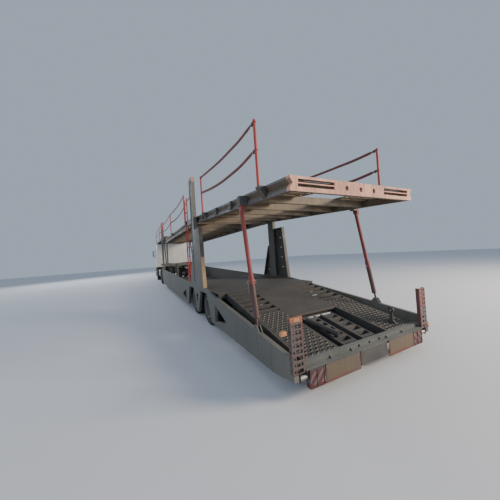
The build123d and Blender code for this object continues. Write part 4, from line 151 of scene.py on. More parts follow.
def finish(name, base, dust, spot, metal=0.0, rough=0.55, dust_amount=0.5, spot_amount=0.12,
           scale=1.0, bump=0.15, zones=(), streaks=0.35, top=0.0, under=None, hole_shade_dots=0.0):
    """A procedural material: zones, drifting dust, streaks, spots, roughness and bump."""
    made = bpy.data.materials.new(name)
    made.use_nodes = True
    tree = made.node_tree
    shader = tree.nodes["Principled BSDF"]
    shader.inputs["Metallic"].default_value = metal
    place = tree.nodes.new("ShaderNodeTexCoord")

    def math_node(operation, first, second=0.0):
        node = tree.nodes.new("ShaderNodeMath")
        node.operation = operation
        for value, socket in ((first, node.inputs[0]), (second, node.inputs[1])):
            if isinstance(value, float):
                socket.default_value = value
            else:
                tree.links.new(value, socket)
        return node.outputs[0]

    def noise(size, detail, roughness, stretch=(1.0, 1.0, 1.0)):
        mapping = tree.nodes.new("ShaderNodeMapping")
        mapping.inputs["Scale"].default_value = stretch
        tree.links.new(place.outputs["Object"], mapping.inputs["Vector"])
        node = tree.nodes.new("ShaderNodeTexNoise")
        node.inputs["Scale"].default_value = size * scale
        node.inputs["Detail"].default_value = detail
        node.inputs["Roughness"].default_value = roughness
        tree.links.new(mapping.outputs["Vector"], node.inputs["Vector"])
        return node.outputs["Fac"]

    def ramp(source, low, high):
        node = tree.nodes.new("ShaderNodeMapRange")
        node.inputs["From Min"].default_value = low
        node.inputs["From Max"].default_value = high
        tree.links.new(source, node.inputs["Value"])
        return node.outputs["Result"]

    def mixed(share, first, second, amount):
        node = tree.nodes.new("ShaderNodeMix")
        node.data_type = "RGBA"
        tree.links.new(math_node("MULTIPLY", share, float(amount)), node.inputs["Factor"])
        for value, socket in ((first, node.inputs[COLOUR_A]), (second, node.inputs[COLOUR_B])):
            if isinstance(value, tuple):
                socket.default_value = (*value, 1.0)
            else:
                tree.links.new(value, socket)
        return node.outputs[COLOUR_OUT]

    def shade(brightness):
        return tuple(brightness * channel for channel in dust)

    drift = ramp(noise(size=1.3, detail=6.0, roughness=0.65), 0.38, 0.66)
    grain = noise(size=38.0, detail=5.0, roughness=0.6)
    specks = ramp(noise(size=11.0, detail=8.0, roughness=0.7), 0.60, 0.68)
    runs = ramp(noise(size=16.0, detail=4.0, roughness=0.6, stretch=(1.0, 1.0, 0.06)), 0.50, 0.72)
    colour = base
    if zones:
        axes = tree.nodes.new("ShaderNodeSeparateXYZ")
        tree.links.new(place.outputs["Object"], axes.inputs[0])
        ragged = math_node("SUBTRACT", noise(size=9.0, detail=3.0, roughness=0.6), 0.5)
        along = {
            "x": axes.outputs[0],
            "y": math_node("ABSOLUTE", axes.outputs[1]),
            "z": axes.outputs[2],
            "side": axes.outputs[1],
            "worn_z": math_node("ADD", axes.outputs[2], math_node("MULTIPLY", ragged, RAGGED_BY)),
        }
        slant = math_node("DIVIDE", math_node("ADD", along["y"], along["z"]), BAND_WIDTH)
        along["slant"] = math_node("FRACT", slant)
        for zone_colour, ranges in zones:
            inside = None
            for axis, (low, high) in ranges.items():
                both = math_node("MULTIPLY", math_node("GREATER_THAN", along[axis], float(low)),
                                 math_node("LESS_THAN", along[axis], float(high)))
                inside = both if inside is None else math_node("MULTIPLY", inside, both)
            colour = mixed(inside, colour, zone_colour, 1.0)
    if under or top:
        facing = tree.nodes.new("ShaderNodeNewGeometry")
        slope_of = tree.nodes.new("ShaderNodeSeparateXYZ")
        tree.links.new(facing.outputs["Normal"], slope_of.inputs[0])
        if under:
            colour = mixed(ramp(slope_of.outputs[2], -0.3, -0.8), colour, under, 1.0)
    colour = mixed(drift, colour, dust, dust_amount)
    if top:
        lying = math_node("MULTIPLY", ramp(slope_of.outputs[2], 0.5, 0.95), ramp(grain, 0.25, 0.6))
        colour = mixed(lying, colour, shade(TOP_DUST), top)
    colour = mixed(runs, colour, shade(STREAK_DUST), streaks)
    colour = mixed(ramp(grain, 0.3, 0.8), colour, shade(GRAIN_DUST), GRAIN_AMOUNT)
    colour = mixed(specks, colour, spot, spot_amount)
    # A grid of dark dots is painted shade: the dark seen through the holes of a perforated plate.
    if hole_shade_dots:
        grid = tree.nodes.new("ShaderNodeTexVoronoi")
        grid.inputs["Scale"].default_value = hole_shade_dots
        grid.inputs["Randomness"].default_value = 0.0
        tree.links.new(place.outputs["Object"], grid.inputs["Vector"])
        colour = mixed(ramp(grid.outputs["Distance"], 0.36, 0.30), colour, HOLE_PAINTED_SHADE, HOLE_SHADE_AMOUNT)
    tree.links.new(colour, shader.inputs["Base Color"])
    matt = tree.nodes.new("ShaderNodeMapRange")
    matt.inputs["To Min"].default_value = rough
    matt.inputs["To Max"].default_value = min(rough + MATT_BY, MATT_MOST)
    tree.links.new(drift, matt.inputs["Value"])
    tree.links.new(matt.outputs["Result"], shader.inputs["Roughness"])
    relief = tree.nodes.new("ShaderNodeBump")
    relief.inputs["Strength"].default_value = bump
    relief.inputs["Distance"].default_value = BUMP_DEPTH
    tree.links.new(grain, relief.inputs["Height"])
    tree.links.new(relief.outputs["Normal"], shader.inputs["Normal"])
    return made


# %% [markdown]
# Each CAD node keeps its shape and gets one of these finishes. Most follow the record's slots. The
# nodes that carry more than one colour on the real trailer have zones: the salmon end beam over a
# brown underside, the posts with their red caps, the rusty corner posts, the rear plates with a
# red border and the lamps with their slanted bands. The posts' leg plates also get a nearly black
# zone of painted shade, and the deck floor plates get painted shade in dark dots for their holes.

# %% Finishes for the CAD nodes
DUST = (0.17, 0.165, 0.155)
RUST = (0.10, 0.040, 0.020)
BROWN = (0.125, 0.084, 0.040)
SALMON = (0.76, 0.36, 0.25)
PLATE_RED = (0.13, 0.020, 0.018)
# Painted shade: the leg plates beside the main posts stand in the deck's shade, so their zones are
# painted nearly black.
LEG_PAINTED_SHADE = (0.034, 0.031, 0.028)
CAB_WHITE, CAB_DIRT, CAB_CHIP = (0.76, 0.75, 0.71), (0.46, 0.43, 0.38), (0.2, 0.18, 0.16)
PLATE_Y = (0.28, 0.86)
LEG_Y, LEG_Z = (0.0, 1.272), (0.0, 2.4)
BETWEEN_BEAMS = (0.0, 1.135)

slot_looks = {
    "trailer_grey": dict(base=(0.105, 0.105, 0.092), dust=DUST, spot=RUST, spot_amount=0.2),
    "deck_steel": dict(base=(0.032, 0.032, 0.032), dust=(0.088, 0.084, 0.078), spot=RUST,
                       metal=0.05, rough=0.7, spot_amount=0.4, top=0.5, scale=1.4, bump=0.4),
    "beam_green": dict(base=(0.070, 0.086, 0.082), dust=(0.17, 0.175, 0.17), spot=RUST,
                       top=0.5, spot_amount=0.4, scale=1.6),
    "marker_yellow": dict(
        base=(0.045, 0.046, 0.050), dust=(0.10, 0.088, 0.075), spot=(0.03, 0.026, 0.024),
        rough=0.5, dust_amount=0.75, spot_amount=0.8, scale=2.6,
        zones=(((0.125, 0.088, 0.048), {"y": PLATE_Y}),
               (PLATE_RED, {"y": (0.828, 0.86)}),
               (PLATE_RED, {"y": (0.28, 0.31)}),
               ((0.15, 0.026, 0.022), {"y": PLATE_Y, "worn_z": (0.1, 0.170)}),
               ((0.11, 0.085, 0.07), {"y": PLATE_Y, "z": (0.316, 0.36)}))),
    "lamp_red": dict(
        base=(0.115, 0.012, 0.014), dust=(0.070, 0.050, 0.050), spot=(0.025, 0.022, 0.022),
        rough=0.3, dust_amount=0.8, spot_amount=0.7, scale=2.6,
        zones=(((0.165, 0.145, 0.145), {"slant": (0.60, 1.0), "worn_z": (0.175, 0.315)}),
               ((0.07, 0.06, 0.06), {"z": (0.325, 0.36)}))),
    "post_orange": dict(
        base=(0.088, 0.062, 0.062), dust=(0.135, 0.108, 0.105), spot=RUST, spot_amount=0.7,
        scale=1.8,
        zones=(((0.125, 0.020, 0.018), {"y": (1.10, 1.1235)}),
               ((0.150, 0.030, 0.026), {"side": (-2.0, 0.0), "worn_z": (0.66, 1.0)}),
               ((0.36, 0.125, 0.070), {"side": (0.0, 2.0), "worn_z": (0.870, 1.0)}))),
    "rail_red": dict(base=(0.27, 0.026, 0.024), dust=(0.15, 0.085, 0.082), spot=RUST,
                     spot_amount=0.6, scale=1.5, dust_amount=0.6,
                     zones=(((0.075, 0.032, 0.031), {"worn_z": (0.0, 1.20)}),)),
    "deck_grey": dict(base=(0.100, 0.098, 0.092), dust=DUST, spot=RUST, under=BROWN, top=0.3),
    "cab_white": dict(base=CAB_WHITE, dust=CAB_DIRT, spot=CAB_CHIP, rough=0.25, dust_amount=0.4,
                      streaks=0.2),
    "black_plastic": dict(base=(0.022, 0.022, 0.024), dust=(0.08, 0.078, 0.074), spot=DUST,
                          rough=0.5),
    "window_glass": dict(base=(0.02, 0.025, 0.028), dust=(0.06, 0.065, 0.07), spot=DUST,
                         rough=0.06, bump=0.0, dust_amount=0.2, streaks=0.1),
    "interior": dict(base=(0.07, 0.066, 0.062), dust=(0.10, 0.095, 0.09), spot=DUST, rough=0.7,
                     streaks=0.0),
    "chassis_black": dict(base=(0.030, 0.030, 0.031), dust=(0.12, 0.112, 0.10), spot=RUST,
                          rough=0.6),
    "engine_iron": dict(base=(0.08, 0.085, 0.085), dust=(0.12, 0.11, 0.10), spot=RUST, metal=0.5),
    "tank_alloy": dict(base=(0.50, 0.51, 0.52), dust=(0.32, 0.31, 0.29), spot=RUST, metal=0.85,
                       rough=0.32),
    "lamp_clear": dict(base=(0.55, 0.57, 0.60), dust=(0.4, 0.4, 0.38), spot=DUST, rough=0.08,
                       streaks=0.05),
    "tyre_black": dict(base=(0.018, 0.018, 0.019), dust=(0.10, 0.095, 0.09), spot=DUST,
                       rough=0.75),
    "rim_paint": dict(base=(0.26, 0.25, 0.235), dust=(0.16, 0.14, 0.12), spot=RUST, metal=0.2,
                      spot_amount=0.4),
    "eye_steel": dict(base=(0.07, 0.066, 0.062), dust=DUST, spot=RUST, metal=0.6),
}
slot_paints = {slot: finish(slot, **look) for slot, look in slot_looks.items()}

own_looks = {
    "deck_posts": ("post_grey", dict(
        base=(0.112, 0.112, 0.100), dust=DUST, spot=RUST, spot_amount=0.3,
        # The first two zones are painted shade on the rear and front leg plates, not their own
        # colour.
        zones=((LEG_PAINTED_SHADE, {"x": (-6.5, -5.762), "y": LEG_Y, "z": LEG_Z}),
               (LEG_PAINTED_SHADE, {"x": (-5.458, -4.9), "y": LEG_Y, "z": LEG_Z}),
               ((0.42, 0.29, 0.145), {"x": (-6.5, -5.80), "side": (1.18, 1.272),
                                      "worn_z": (0.8, 1.62)}),
               ((0.50, 0.22, 0.18), {"x": (-5.9, -5.757), "worn_z": (3.64, 4.0)}),
               ((0.40, 0.12, 0.09), {"x": (2.0, 3.0), "worn_z": (3.42, 4.0)})))),
    "rear_deck_frame": ("rear_deck_paint", dict(
        base=(0.105, 0.103, 0.098), dust=DUST, spot=RUST, spot_amount=0.45, top=0.3, streaks=0.6,
        under=BROWN,
        zones=((BROWN, {"y": BETWEEN_BEAMS, "x": (-9.70, 0.0)}),
               ((0.028, 0.028, 0.030), {"y": (1.1415, 1.3)}),
               (SALMON, {"x": (-9.9, -9.70)})))),
    "front_deck_frame": ("front_deck_paint", dict(
        base=(0.105, 0.103, 0.098), dust=DUST, spot=RUST, spot_amount=0.35, top=0.3, under=BROWN,
        zones=((BROWN, {"y": BETWEEN_BEAMS}),))),
    "rear_deck_floor": ("tan_plates", dict(
        base=(0.205, 0.148, 0.078), dust=(0.15, 0.125, 0.09), spot=RUST, spot_amount=0.7, top=0.3,
        # The dots are painted shade for the holes of the floor plates.
        streaks=0.7, hole_shade_dots=28.0)),
    "access_ladder": ("ladder_red", dict(
        base=(0.36, 0.030, 0.022), dust=(0.20, 0.09, 0.075), spot=RUST, spot_amount=0.5)),
    "stowed_ramps": ("ramp_black", dict(
        base=(0.020, 0.020, 0.022), dust=(0.13, 0.125, 0.12), spot=RUST, rough=0.5, top=0.3)),
    "cab_shell": ("cab_panels", dict(
        base=CAB_WHITE, dust=CAB_DIRT, spot=CAB_CHIP, rough=0.25, dust_amount=0.4, streaks=0.25,
        zones=(((0.020, 0.020, 0.021), {"x": (9.55, 9.75), "y": (0.0, 0.630),
                                        "z": (1.175, 1.515)}),))),
    "bumper": ("bumper_paint", dict(
        base=(0.72, 0.71, 0.67), dust=(0.34, 0.31, 0.27), spot=CAB_CHIP, rough=0.35,
        dust_amount=0.5, streaks=0.4, zones=(((0.045, 0.045, 0.046), {"z": (0.2, 0.415)}),))),
}
own_paints = {node: finish(name, **look) for node, (name, look) in own_looks.items()}
own_paints["front_deck_floor"] = own_paints["rear_deck_floor"]

for entry in frame["record"]["subparts"]:
    mesh = nodes[entry["node"]].data
    mesh.materials.clear()
    mesh.materials.append(own_paints.get(entry["node"], slot_paints[entry["material_slot"]]))

# %% [markdown]
# The new pieces start as primitives, are shaped in edit mode and end with their place in the mesh.
# These few helpers do what a hand does between two operators: take one object, pick its faces by
# place or normal, and copy a finished piece so that each copy has a mesh of its own.

# %% Helpers for modelling
QUARTER = math.radians(90)


def alone(piece):
    """Leave edit mode and select one object only."""
    if bpy.context.object and bpy.context.object.mode != "OBJECT":
        bpy.ops.object.mode_set(mode="OBJECT")
    bpy.ops.object.select_all(action="DESELECT")
    piece.select_set(True)
    bpy.context.view_layer.objects.active = piece


def started(name):
    """Name the primitive that was just added and put its place into its mesh."""
    piece = bpy.context.object
    piece.name = name
    piece.data.name = name
    alone(piece)
    bpy.ops.object.transform_apply(location=True, rotation=True, scale=True)
    return piece


def slab(name, low, high, round_by=0.0, segments=2):
    """A block between two corners with softened edges."""
    middle = [(a + b) / 2 for a, b in zip(low, high)]
    size = [b - a for a, b in zip(low, high)]
    bpy.ops.mesh.primitive_cube_add(size=1.0, location=middle, scale=size)
    piece = started(name)
    if round_by:
        bpy.ops.object.mode_set(mode="EDIT")
        bpy.ops.mesh.select_mode(type="EDGE")
        bpy.ops.mesh.select_all(action="SELECT")
        bpy.ops.mesh.bevel(offset=round_by, segments=segments, affect="EDGES")
        bpy.ops.object.mode_set(mode="OBJECT")
    return piece


def torus(name, major, minor, around, across, place, turned=(0, 0, 0)):
    """A ring with its large and small radius, and how many faces it has each way."""
    bpy.ops.mesh.primitive_torus_add(major_radius=major, minor_radius=minor, major_segments=around,
                                     minor_segments=across, location=place, rotation=turned)
    return started(name)


def pick(piece, wanted):
    """Go into edit mode with only those faces selected whose middle and normal pass a test."""
    alone(piece)
    bpy.ops.object.mode_set(mode="EDIT")
    bpy.ops.mesh.select_mode(type="FACE")
    bpy.ops.mesh.select_all(action="DESELECT")
    shape = bmesh.from_edit_mesh(piece.data)
    chosen = [face for face in shape.faces if wanted(face.calc_center_median(), face.normal)]
    for face in chosen:
        face.select_set(True)
    bmesh.update_edit_mesh(piece.data)
    return len(chosen)


def drawn_line(name, points):
    """A line of edges: one point, extruded from place to place, left in edit mode."""
    bpy.ops.mesh.primitive_plane_add(size=0.01, location=points[0])
    piece = started(name)
    bpy.ops.object.mode_set(mode="EDIT")
    bpy.ops.mesh.select_mode(type="VERT")
    bpy.ops.mesh.select_all(action="SELECT")
    bpy.ops.mesh.merge(type="CENTER")
    for start, end in zip(points, points[1:]):
        extruded_by(Vector(end) - Vector(start))
    return piece


def extruded_by(step):
    """Extrude what is selected and move it by a step."""
    bpy.ops.mesh.extrude_region_move(TRANSFORM_OT_translate={"value": step})


def closed_up(piece):
    """Merge doubled points and turn all faces outwards."""
    alone(piece)
    bpy.ops.object.mode_set(mode="EDIT")
    bpy.ops.mesh.select_all(action="SELECT")
    bpy.ops.mesh.remove_doubles(threshold=0.0002)
    bpy.ops.mesh.normals_make_consistent(inside=False)
    bpy.ops.object.mode_set(mode="OBJECT")
    return piece


def copied(piece, name, move):
    """A copy with its own mesh, moved by a matrix."""
    twin = piece.copy()
    twin.data = piece.data.copy()
    twin.name = name
    twin.data.name = name
    twin.data.transform(move)
    bpy.context.scene.collection.objects.link(twin)
    return twin


def joined(name, pieces):
    """Several objects made one."""
    alone(pieces[0])
    for piece in pieces[1:]:
        piece.select_set(True)
    if len(pieces) > 1:
        bpy.ops.object.join()
    pieces[0].name = name
    pieces[0].data.name = name
    return pieces[0]


def dressed(piece, paint, slot, body, *replaced, angle=35.0):
    """Smooth a piece, give it a finish and let it ride on its body."""
    alone(piece)
    bpy.ops.object.shade_smooth_by_angle(angle=math.radians(angle))
    piece.data.materials.clear()
    piece.data.materials.append(paint)
    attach(piece, body)
    if replaced:
        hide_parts(*replaced)
    return piece


def surface(node, start, toward):
    """Where a line from a point first meets a CAD node."""
    hit, place, _, _ = nodes[node].ray_cast(Vector(start), Vector(toward))
    if not hit:
        raise ValueError("the line from %s misses %s" % (start, node))
    return place


print("the helpers are ready")

# %% [markdown]
# A truck tyre is one section turned round the axle. The section is drawn point by point as an open
# line, from bead to bead over the tread, and spun with the Spin operator. The grooves that run
# round the tyre are already in the section. The tread comes last: every face on it is inset by
# itself. On the driven wheels the faces are pushed out as blocks, on the ribbed tyres they are
# sunk a few millimetres, which leaves fine cuts in the ribs.

# %% The tyres
RUBBER = finish("worn_rubber", (0.014, 0.014, 0.015), (0.065, 0.063, 0.06), (0.10, 0.095, 0.09),
                rough=0.72, dust_amount=0.55, spot_amount=0.25, scale=2.0, bump=0.3)
SPIN_STEPS = 72
GROOVE_DEPTH = 0.011
GROOVE_TOP, GROOVE_FOOT = 0.022, 0.014  # half the groove, as shares of the tyre's width
BLOCK_APART = 0.0032
# Kind: outer radius, bead radius, width, places of the grooves as shares of it, lift of the tread.
TYRE_SIZES = {
    "steer": (0.4745, 0.287, 0.283, (-0.27, -0.09, 0.09, 0.27), -0.004),
    "drive": (0.4745, 0.287, 0.283, (-0.21, 0.0, 0.21), 0.011),
    "trailer": (0.3975, 0.223, 0.223, (-0.27, -0.09, 0.09, 0.27), -0.004),
}


def tyre(name, outer, bead, width, grooves, lift):
    """One tyre round the origin with its axle along Y."""
    wall = outer - bead
    face = outer - max(lift, 0.0)
    half = [
        (bead, -0.34), (bead + 0.012, -0.40), (bead + 0.16 * wall, -0.445),
        (bead + 0.20 * wall, -0.465), (bead + 0.24 * wall, -0.462), (bead + 0.50 * wall, -0.5),
        (bead + 0.72 * wall, -0.485), (face - 0.020, -0.445), (face - 0.004, -0.40),
    ]
    tread = []
    for groove in grooves:
        tread += [(face, groove - GROOVE_TOP), (face - GROOVE_DEPTH, groove - GROOVE_FOOT),
                  (face - GROOVE_DEPTH, groove + GROOVE_FOOT), (face, groove + GROOVE_TOP)]
    section = half + tread + [(r, -y) for r, y in reversed(half)]
    piece = drawn_line(name, [(0.0, y * width, r) for r, y in section + section[:1]])
    bpy.ops.mesh.select_all(action="SELECT")
    bpy.ops.mesh.spin(steps=SPIN_STEPS, angle=2 * math.pi, center=(0, 0, 0), axis=(0, 1, 0))
    closed_up(piece)
    faces = pick(piece, lambda c, n: math.hypot(c.x, c.z) > face - 0.002 and abs(n.y) < 0.2)
    bpy.ops.mesh.inset(thickness=BLOCK_APART, depth=lift, use_individual=True)
    bpy.ops.object.mode_set(mode="OBJECT")
    print(name, "has", faces, "tread faces and", len(piece.data.polygons), "faces in all")
    return piece


tyre_kinds = {kind: tyre(kind + "_pattern", *sizes) for kind, sizes in TYRE_SIZES.items()}
WHEELS = [name.removesuffix("_tyre") for name in sorted(nodes) if name.endswith("_tyre")]
for wheel in WHEELS:
    pattern = tyre_kinds[wheel.split("_")[0]]
    low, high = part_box(wheel + "_tyre")
    half_wide = pattern.dimensions.y / 2
    centre = (low + high) / 2
    is_twin = high.y - low.y > 3 * half_wide
    rows = [low.y + half_wide, high.y - half_wide] if is_twin else [centre.y]
    rings = [copied(pattern, "ring", Matrix.Translation((centre.x, y, centre.z))) for y in rows]
    dressed(joined(wheel + "_treaded_tyre", rings), RUBBER, "tyre_black", wheel + "_wheel",
            wheel + "_tyre")
for pattern in tyre_kinds.values():
    bpy.data.objects.remove(pattern)
print("tyres on", len(WHEELS), "wheels")

# %% [markdown]
# Ten nuts on studs hold each wheel to its hub. A nut is a six-sided cylinder whose outer rim is
# bevelled; the stud is its end face inset and pulled out. One nut is made and the rest are copies,
# turned about the axle. A ray shot at the rim finds the face that they sit on.

# %% The wheel nuts
NUT_STEEL = finish("nut_steel", (0.20, 0.19, 0.18), (0.30, 0.26, 0.22), (0.22, 0.09, 0.04),
                   metal=0.7, rough=0.45, spot_amount=0.7, scale=3.0)
NUTS = 10
NUT_RADIUS, NUT_HEIGHT, NUT_BEVEL = 0.0175, 0.022, 0.003
STUD_IN, STUD_LENGTH = 0.006, 0.014
NUT_CIRCLES = {"steer": 0.1675, "drive": 0.1675, "trailer": 0.128}

bpy.ops.mesh.primitive_cylinder_add(vertices=6, radius=NUT_RADIUS, depth=NUT_HEIGHT,
                                    location=(0, NUT_HEIGHT / 2, 0), rotation=(QUARTER, 0, 0))
nut = started("nut")
pick(nut, lambda c, n: n.y > 0.9)
bpy.ops.mesh.inset(thickness=NUT_BEVEL)
bpy.ops.transform.translate(value=(0, NUT_BEVEL, 0))
bpy.ops.mesh.inset(thickness=STUD_IN)
extruded_by((0, STUD_LENGTH, 0))
bpy.ops.object.mode_set(mode="OBJECT")
for wheel in WHEELS:
    low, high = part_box(wheel + "_rim")
    centre = (low + high) / 2
    side = 1 if centre.y > 0 else -1
    ring = NUT_CIRCLES[wheel.split("_")[0]]
    seat = surface(wheel + "_rim", (centre.x, side * 2.0, centre.z + ring), (0, -side, 0))
    face_out = Matrix.Rotation(0.0 if side > 0 else math.pi, 4, "Z")
    nuts = []
    for index in range(NUTS):
        turn_by = Matrix.Rotation(index * 2 * math.pi / NUTS, 4, "Y")
        hub = Matrix.Translation((centre.x, seat.y, centre.z))
        place = hub @ turn_by @ Matrix.Translation((0, 0, ring))
        nuts.append(copied(nut, "nut_copy", place @ face_out))
    dressed(joined(wheel + "_nuts", nuts), NUT_STEEL, "eye_steel", wheel + "_wheel")
bpy.data.objects.remove(nut)
print("nuts on", len(WHEELS), "wheels")

# %% [markdown]
# The hand rails are round posts with two webbing straps between them. The straps have hung there
# for years: they sag, kink near the posts and are faded to a dull brown red. Each strap is drawn
# as a line that sags and wanders a little, extruded upwards to a band, and given its thickness
# with Solidify. A clamp and a bent hook hold it at each end. The CAD node has plain round straps
# in the same place.

# %% The rail posts and their straps
POST_RED = finish("post_red", (0.42, 0.035, 0.025), (0.24, 0.10, 0.08), RUST, rough=0.5,
                  dust_amount=0.45, spot_amount=0.6, scale=1.6)
WEBBING = finish("faded_webbing", (0.20, 0.040, 0.034), (0.13, 0.075, 0.062), (0.05, 0.03, 0.025),
                 rough=0.85, dust_amount=0.7, spot_amount=0.5, scale=2.2, bump=0.6)
HOOK_BLACK = finish("hook_black", (0.02, 0.02, 0.021), (0.10, 0.09, 0.085), RUST, rough=0.55,
                    spot_amount=0.3)
POST_RADIUS = 0.0195
UPPER_DROP, LOWER_DROP = 0.03, 0.39  # how far the straps hang below a post's top
UPPER_SAG, LOWER_SAG = 0.04, 0.07
STRAP_STEPS, HALF_BAND, BAND_LEAN, BAND_THICK = 16, 0.028, 0.005, 0.007
KINK_AT, KINK_LONG = 0.16, 0.11  # as shares of the strap
HOOK_FROM_POST, STRAP_FROM_POST = 0.03, 0.075
REAR_DECK_SLOPE = math.tan(math.radians(4.0))


def rail_post(x, y, foot, top):
    """A round post with a flattened top and two eyes for the straps."""
    bpy.ops.mesh.primitive_cylinder_add(vertices=20, radius=POST_RADIUS, depth=top - foot,
                                        location=(x, y, (top + foot) / 2))
    piece = started("rail_post")
    pick(piece, lambda c, n: n.z > 0.9)
    for inset, fall in ((0.004, -0.004), (0.006, -0.02)):
        bpy.ops.mesh.inset(thickness=inset)
        bpy.ops.transform.translate(value=(0, 0, fall))
    bpy.ops.object.mode_set(mode="OBJECT")
    eyes = [torus("post_eye", 0.0225, 0.0055, 20, 8, (x, y, top - drop))
            for drop in (UPPER_DROP, LOWER_DROP)]
    return joined("rail_post", [piece] + eyes)


def strap(start, end, sag, kink):
    """A flat band that hangs between two points."""
    start, end = Vector(start), Vector(end)
    points = []
    for index in range(STRAP_STEPS + 1):
        share = index / STRAP_STEPS
        point = start.lerp(end, share)
        dip = kink * math.exp(-((share - KINK_AT) / KINK_LONG) ** 2)
        point.z -= sag * 4 * share * (1 - share) + dip
        point.y += 0.006 * math.sin(9 * share + 40 * kink)
        points.append(point - Vector((0, 0, HALF_BAND)))
    band = drawn_line("strap", points)
    bpy.ops.mesh.select_all(action="SELECT")
    extruded_by((0, BAND_LEAN, HALF_BAND))
    extruded_by((0, -BAND_LEAN, HALF_BAND))
    bpy.ops.object.mode_set(mode="OBJECT")
    thick = band.modifiers.new("thickness", "SOLIDIFY")
    thick.thickness, thick.offset = BAND_THICK, 0.0
    soft = band.modifiers.new("soft_edge", "SUBSURF")
    soft.levels = soft.render_levels = 1
    alone(band)
    for step in ("thickness", "soft_edge"):
        bpy.ops.object.modifier_apply(modifier=step)
    return band


def strap_hook(x, y, z, toward):
    """The dark clamp and bent hook at a strap's end."""
    near, far = sorted((x, x + toward * 0.05))
    clamp = slab("clamp", (near, y - 0.009, z - 0.024), (far, y + 0.009, z + 0.024), 0.004)
    ring = torus("hook_ring", 0.021, 0.0045, 18, 6, (x, y, z), (QUARTER, 0, 0))
    return joined("strap_hook", [clamp, ring])


def rails(name, rows, y, body, node):
    """Posts, straps and hooks of one deck, on both sides."""
    posts, straps, hooks = [], [], []
    for side in (-1, 1):
        for x, foot, top in rows:
            posts.append(rail_post(x, side * y, foot, top))
        for number, ((xa, _, ta), (xb, _, tb)) in enumerate(zip(rows, rows[1:])):
            for drop, sag in ((UPPER_DROP, UPPER_SAG), (LOWER_DROP, LOWER_SAG)):
                kink = 0.014 + 0.006 * math.sin(3 * number + side + 20 * drop)
                sag += 0.01 * side * math.cos(5 * number)
                straps.append(strap((xa + STRAP_FROM_POST, side * y, ta - drop),
                                    (xb - STRAP_FROM_POST, side * y, tb - drop), sag, kink))
                hooks.append(strap_hook(xa + HOOK_FROM_POST, side * y, ta - drop, 1))
                hooks.append(strap_hook(xb - HOOK_FROM_POST, side * y, tb - drop, -1))
    dressed(joined(name + "_posts", posts), POST_RED, "rail_red", body, node)
    dressed(joined(name + "_straps", straps), WEBBING, "rail_red", body, angle=60.0)
    dressed(joined(name + "_hooks", hooks), HOOK_BLACK, "chassis_black", body)
    print(name, "has", len(rows) * 2, "posts and", len(straps), "straps")


def rear_deck_foot(x):
    """Where a post stands on the sloping rear deck."""
    return 2.444 + (x + 9.76) * REAR_DECK_SLOPE - 0.0097


# Each row is a post's place along the deck, its foot and its top.
rear_rows = [(x, rear_deck_foot(x), top) for x, top in ((-9.23, 3.33), (-6.55, 3.50))]
front_rows = [(x, 2.7703, 3.62) for x in (-4.4, -1.15, 2.2)]
head_rows = [(x, 3.0803, 4.0) for x in (3.5, 6.3, 9.15)]
rails("rear_rail", rear_rows, 1.225, "rear_deck", "rear_deck_rails")
rails("front_rail", front_rows, 1.225, "front_deck", "front_deck_rails")
rails("head_rail", head_rows, 1.07, "trailer", "head_rails")

# %% [markdown]
# Small things make the rear end believable. Under each corner post turns a steel roller on a pin,
# beside it stands an outline lamp on a rubber arm, and the left post keeps an amber reflector
# behind its lattice. The lamp is a rounded block with one face inset and pushed out as its lens.
# It is modelled once on the left, and the copy for the right is turned half round and hangs lower.

# %% The rear corners
AMBER = finish("amber_lens", (0.50, 0.20, 0.07), (0.42, 0.30, 0.22), (0.10, 0.06, 0.04), rough=0.3,
               spot_amount=0.4, scale=3.0, bump=0.1)
ROLLER_STEEL = finish("roller_steel", (0.34, 0.34, 0.35), (0.20, 0.19, 0.18), RUST, metal=0.6,
                      rough=0.4, spot_amount=0.5, scale=3.0)
LAMP_X, PANEL_Y, ARM_Z = -9.756, 1.272, 0.770
RIGHT_LAMP_Z, RIGHT_LAMP_TURN = 0.42, math.radians(62)
ROLLER_X, ROLLER_Z, ROLLER_Y = -9.760, 0.275, 1.145
ROLLER_RADIUS, ROLLER_LONG = 0.026, 0.084
ROLLER_PIN_Y, CHEEK_Y = (1.088, 1.204), (1.097, 1.193)
CHEEK_HALF = 0.004
BACKWARD = (-1, 0, 0)
FORWARD = (1, 0, 0)


def lens_block(name, low, high, facing):
    """A rounded block whose face on one side is inset and pushed out as a lens."""
    piece = slab(name, low, high, 0.004)
    pick(piece, lambda c, n: n.dot(Vector(facing)) > 0.95)
    bpy.ops.mesh.inset(thickness=0.006)
    bpy.ops.mesh.inset(thickness=0.002, depth=0.003)
    bpy.ops.object.mode_set(mode="OBJECT")
    return piece


def round_bar(name, start, end, radius, tip=None, sides=16):
    """A round bar between two points, tapered where it has a tip radius, with softened ends."""
    start, end = Vector(start), Vector(end)
    run = end - start
    tip = radius if tip is None else tip
    bpy.ops.mesh.primitive_cone_add(vertices=sides, radius1=radius, radius2=tip, depth=run.length,
                                    location=(start + end) / 2,
                                    rotation=run.to_track_quat("Z", "Y").to_euler())
    piece = started(name)
    heading = run.normalized()
    pick(piece, lambda c, n: abs(n.dot(heading)) > 0.9)
    bpy.ops.mesh.inset(thickness=0.25 * radius, depth=0.12 * radius)
    bpy.ops.object.mode_set(mode="OBJECT")
    return piece


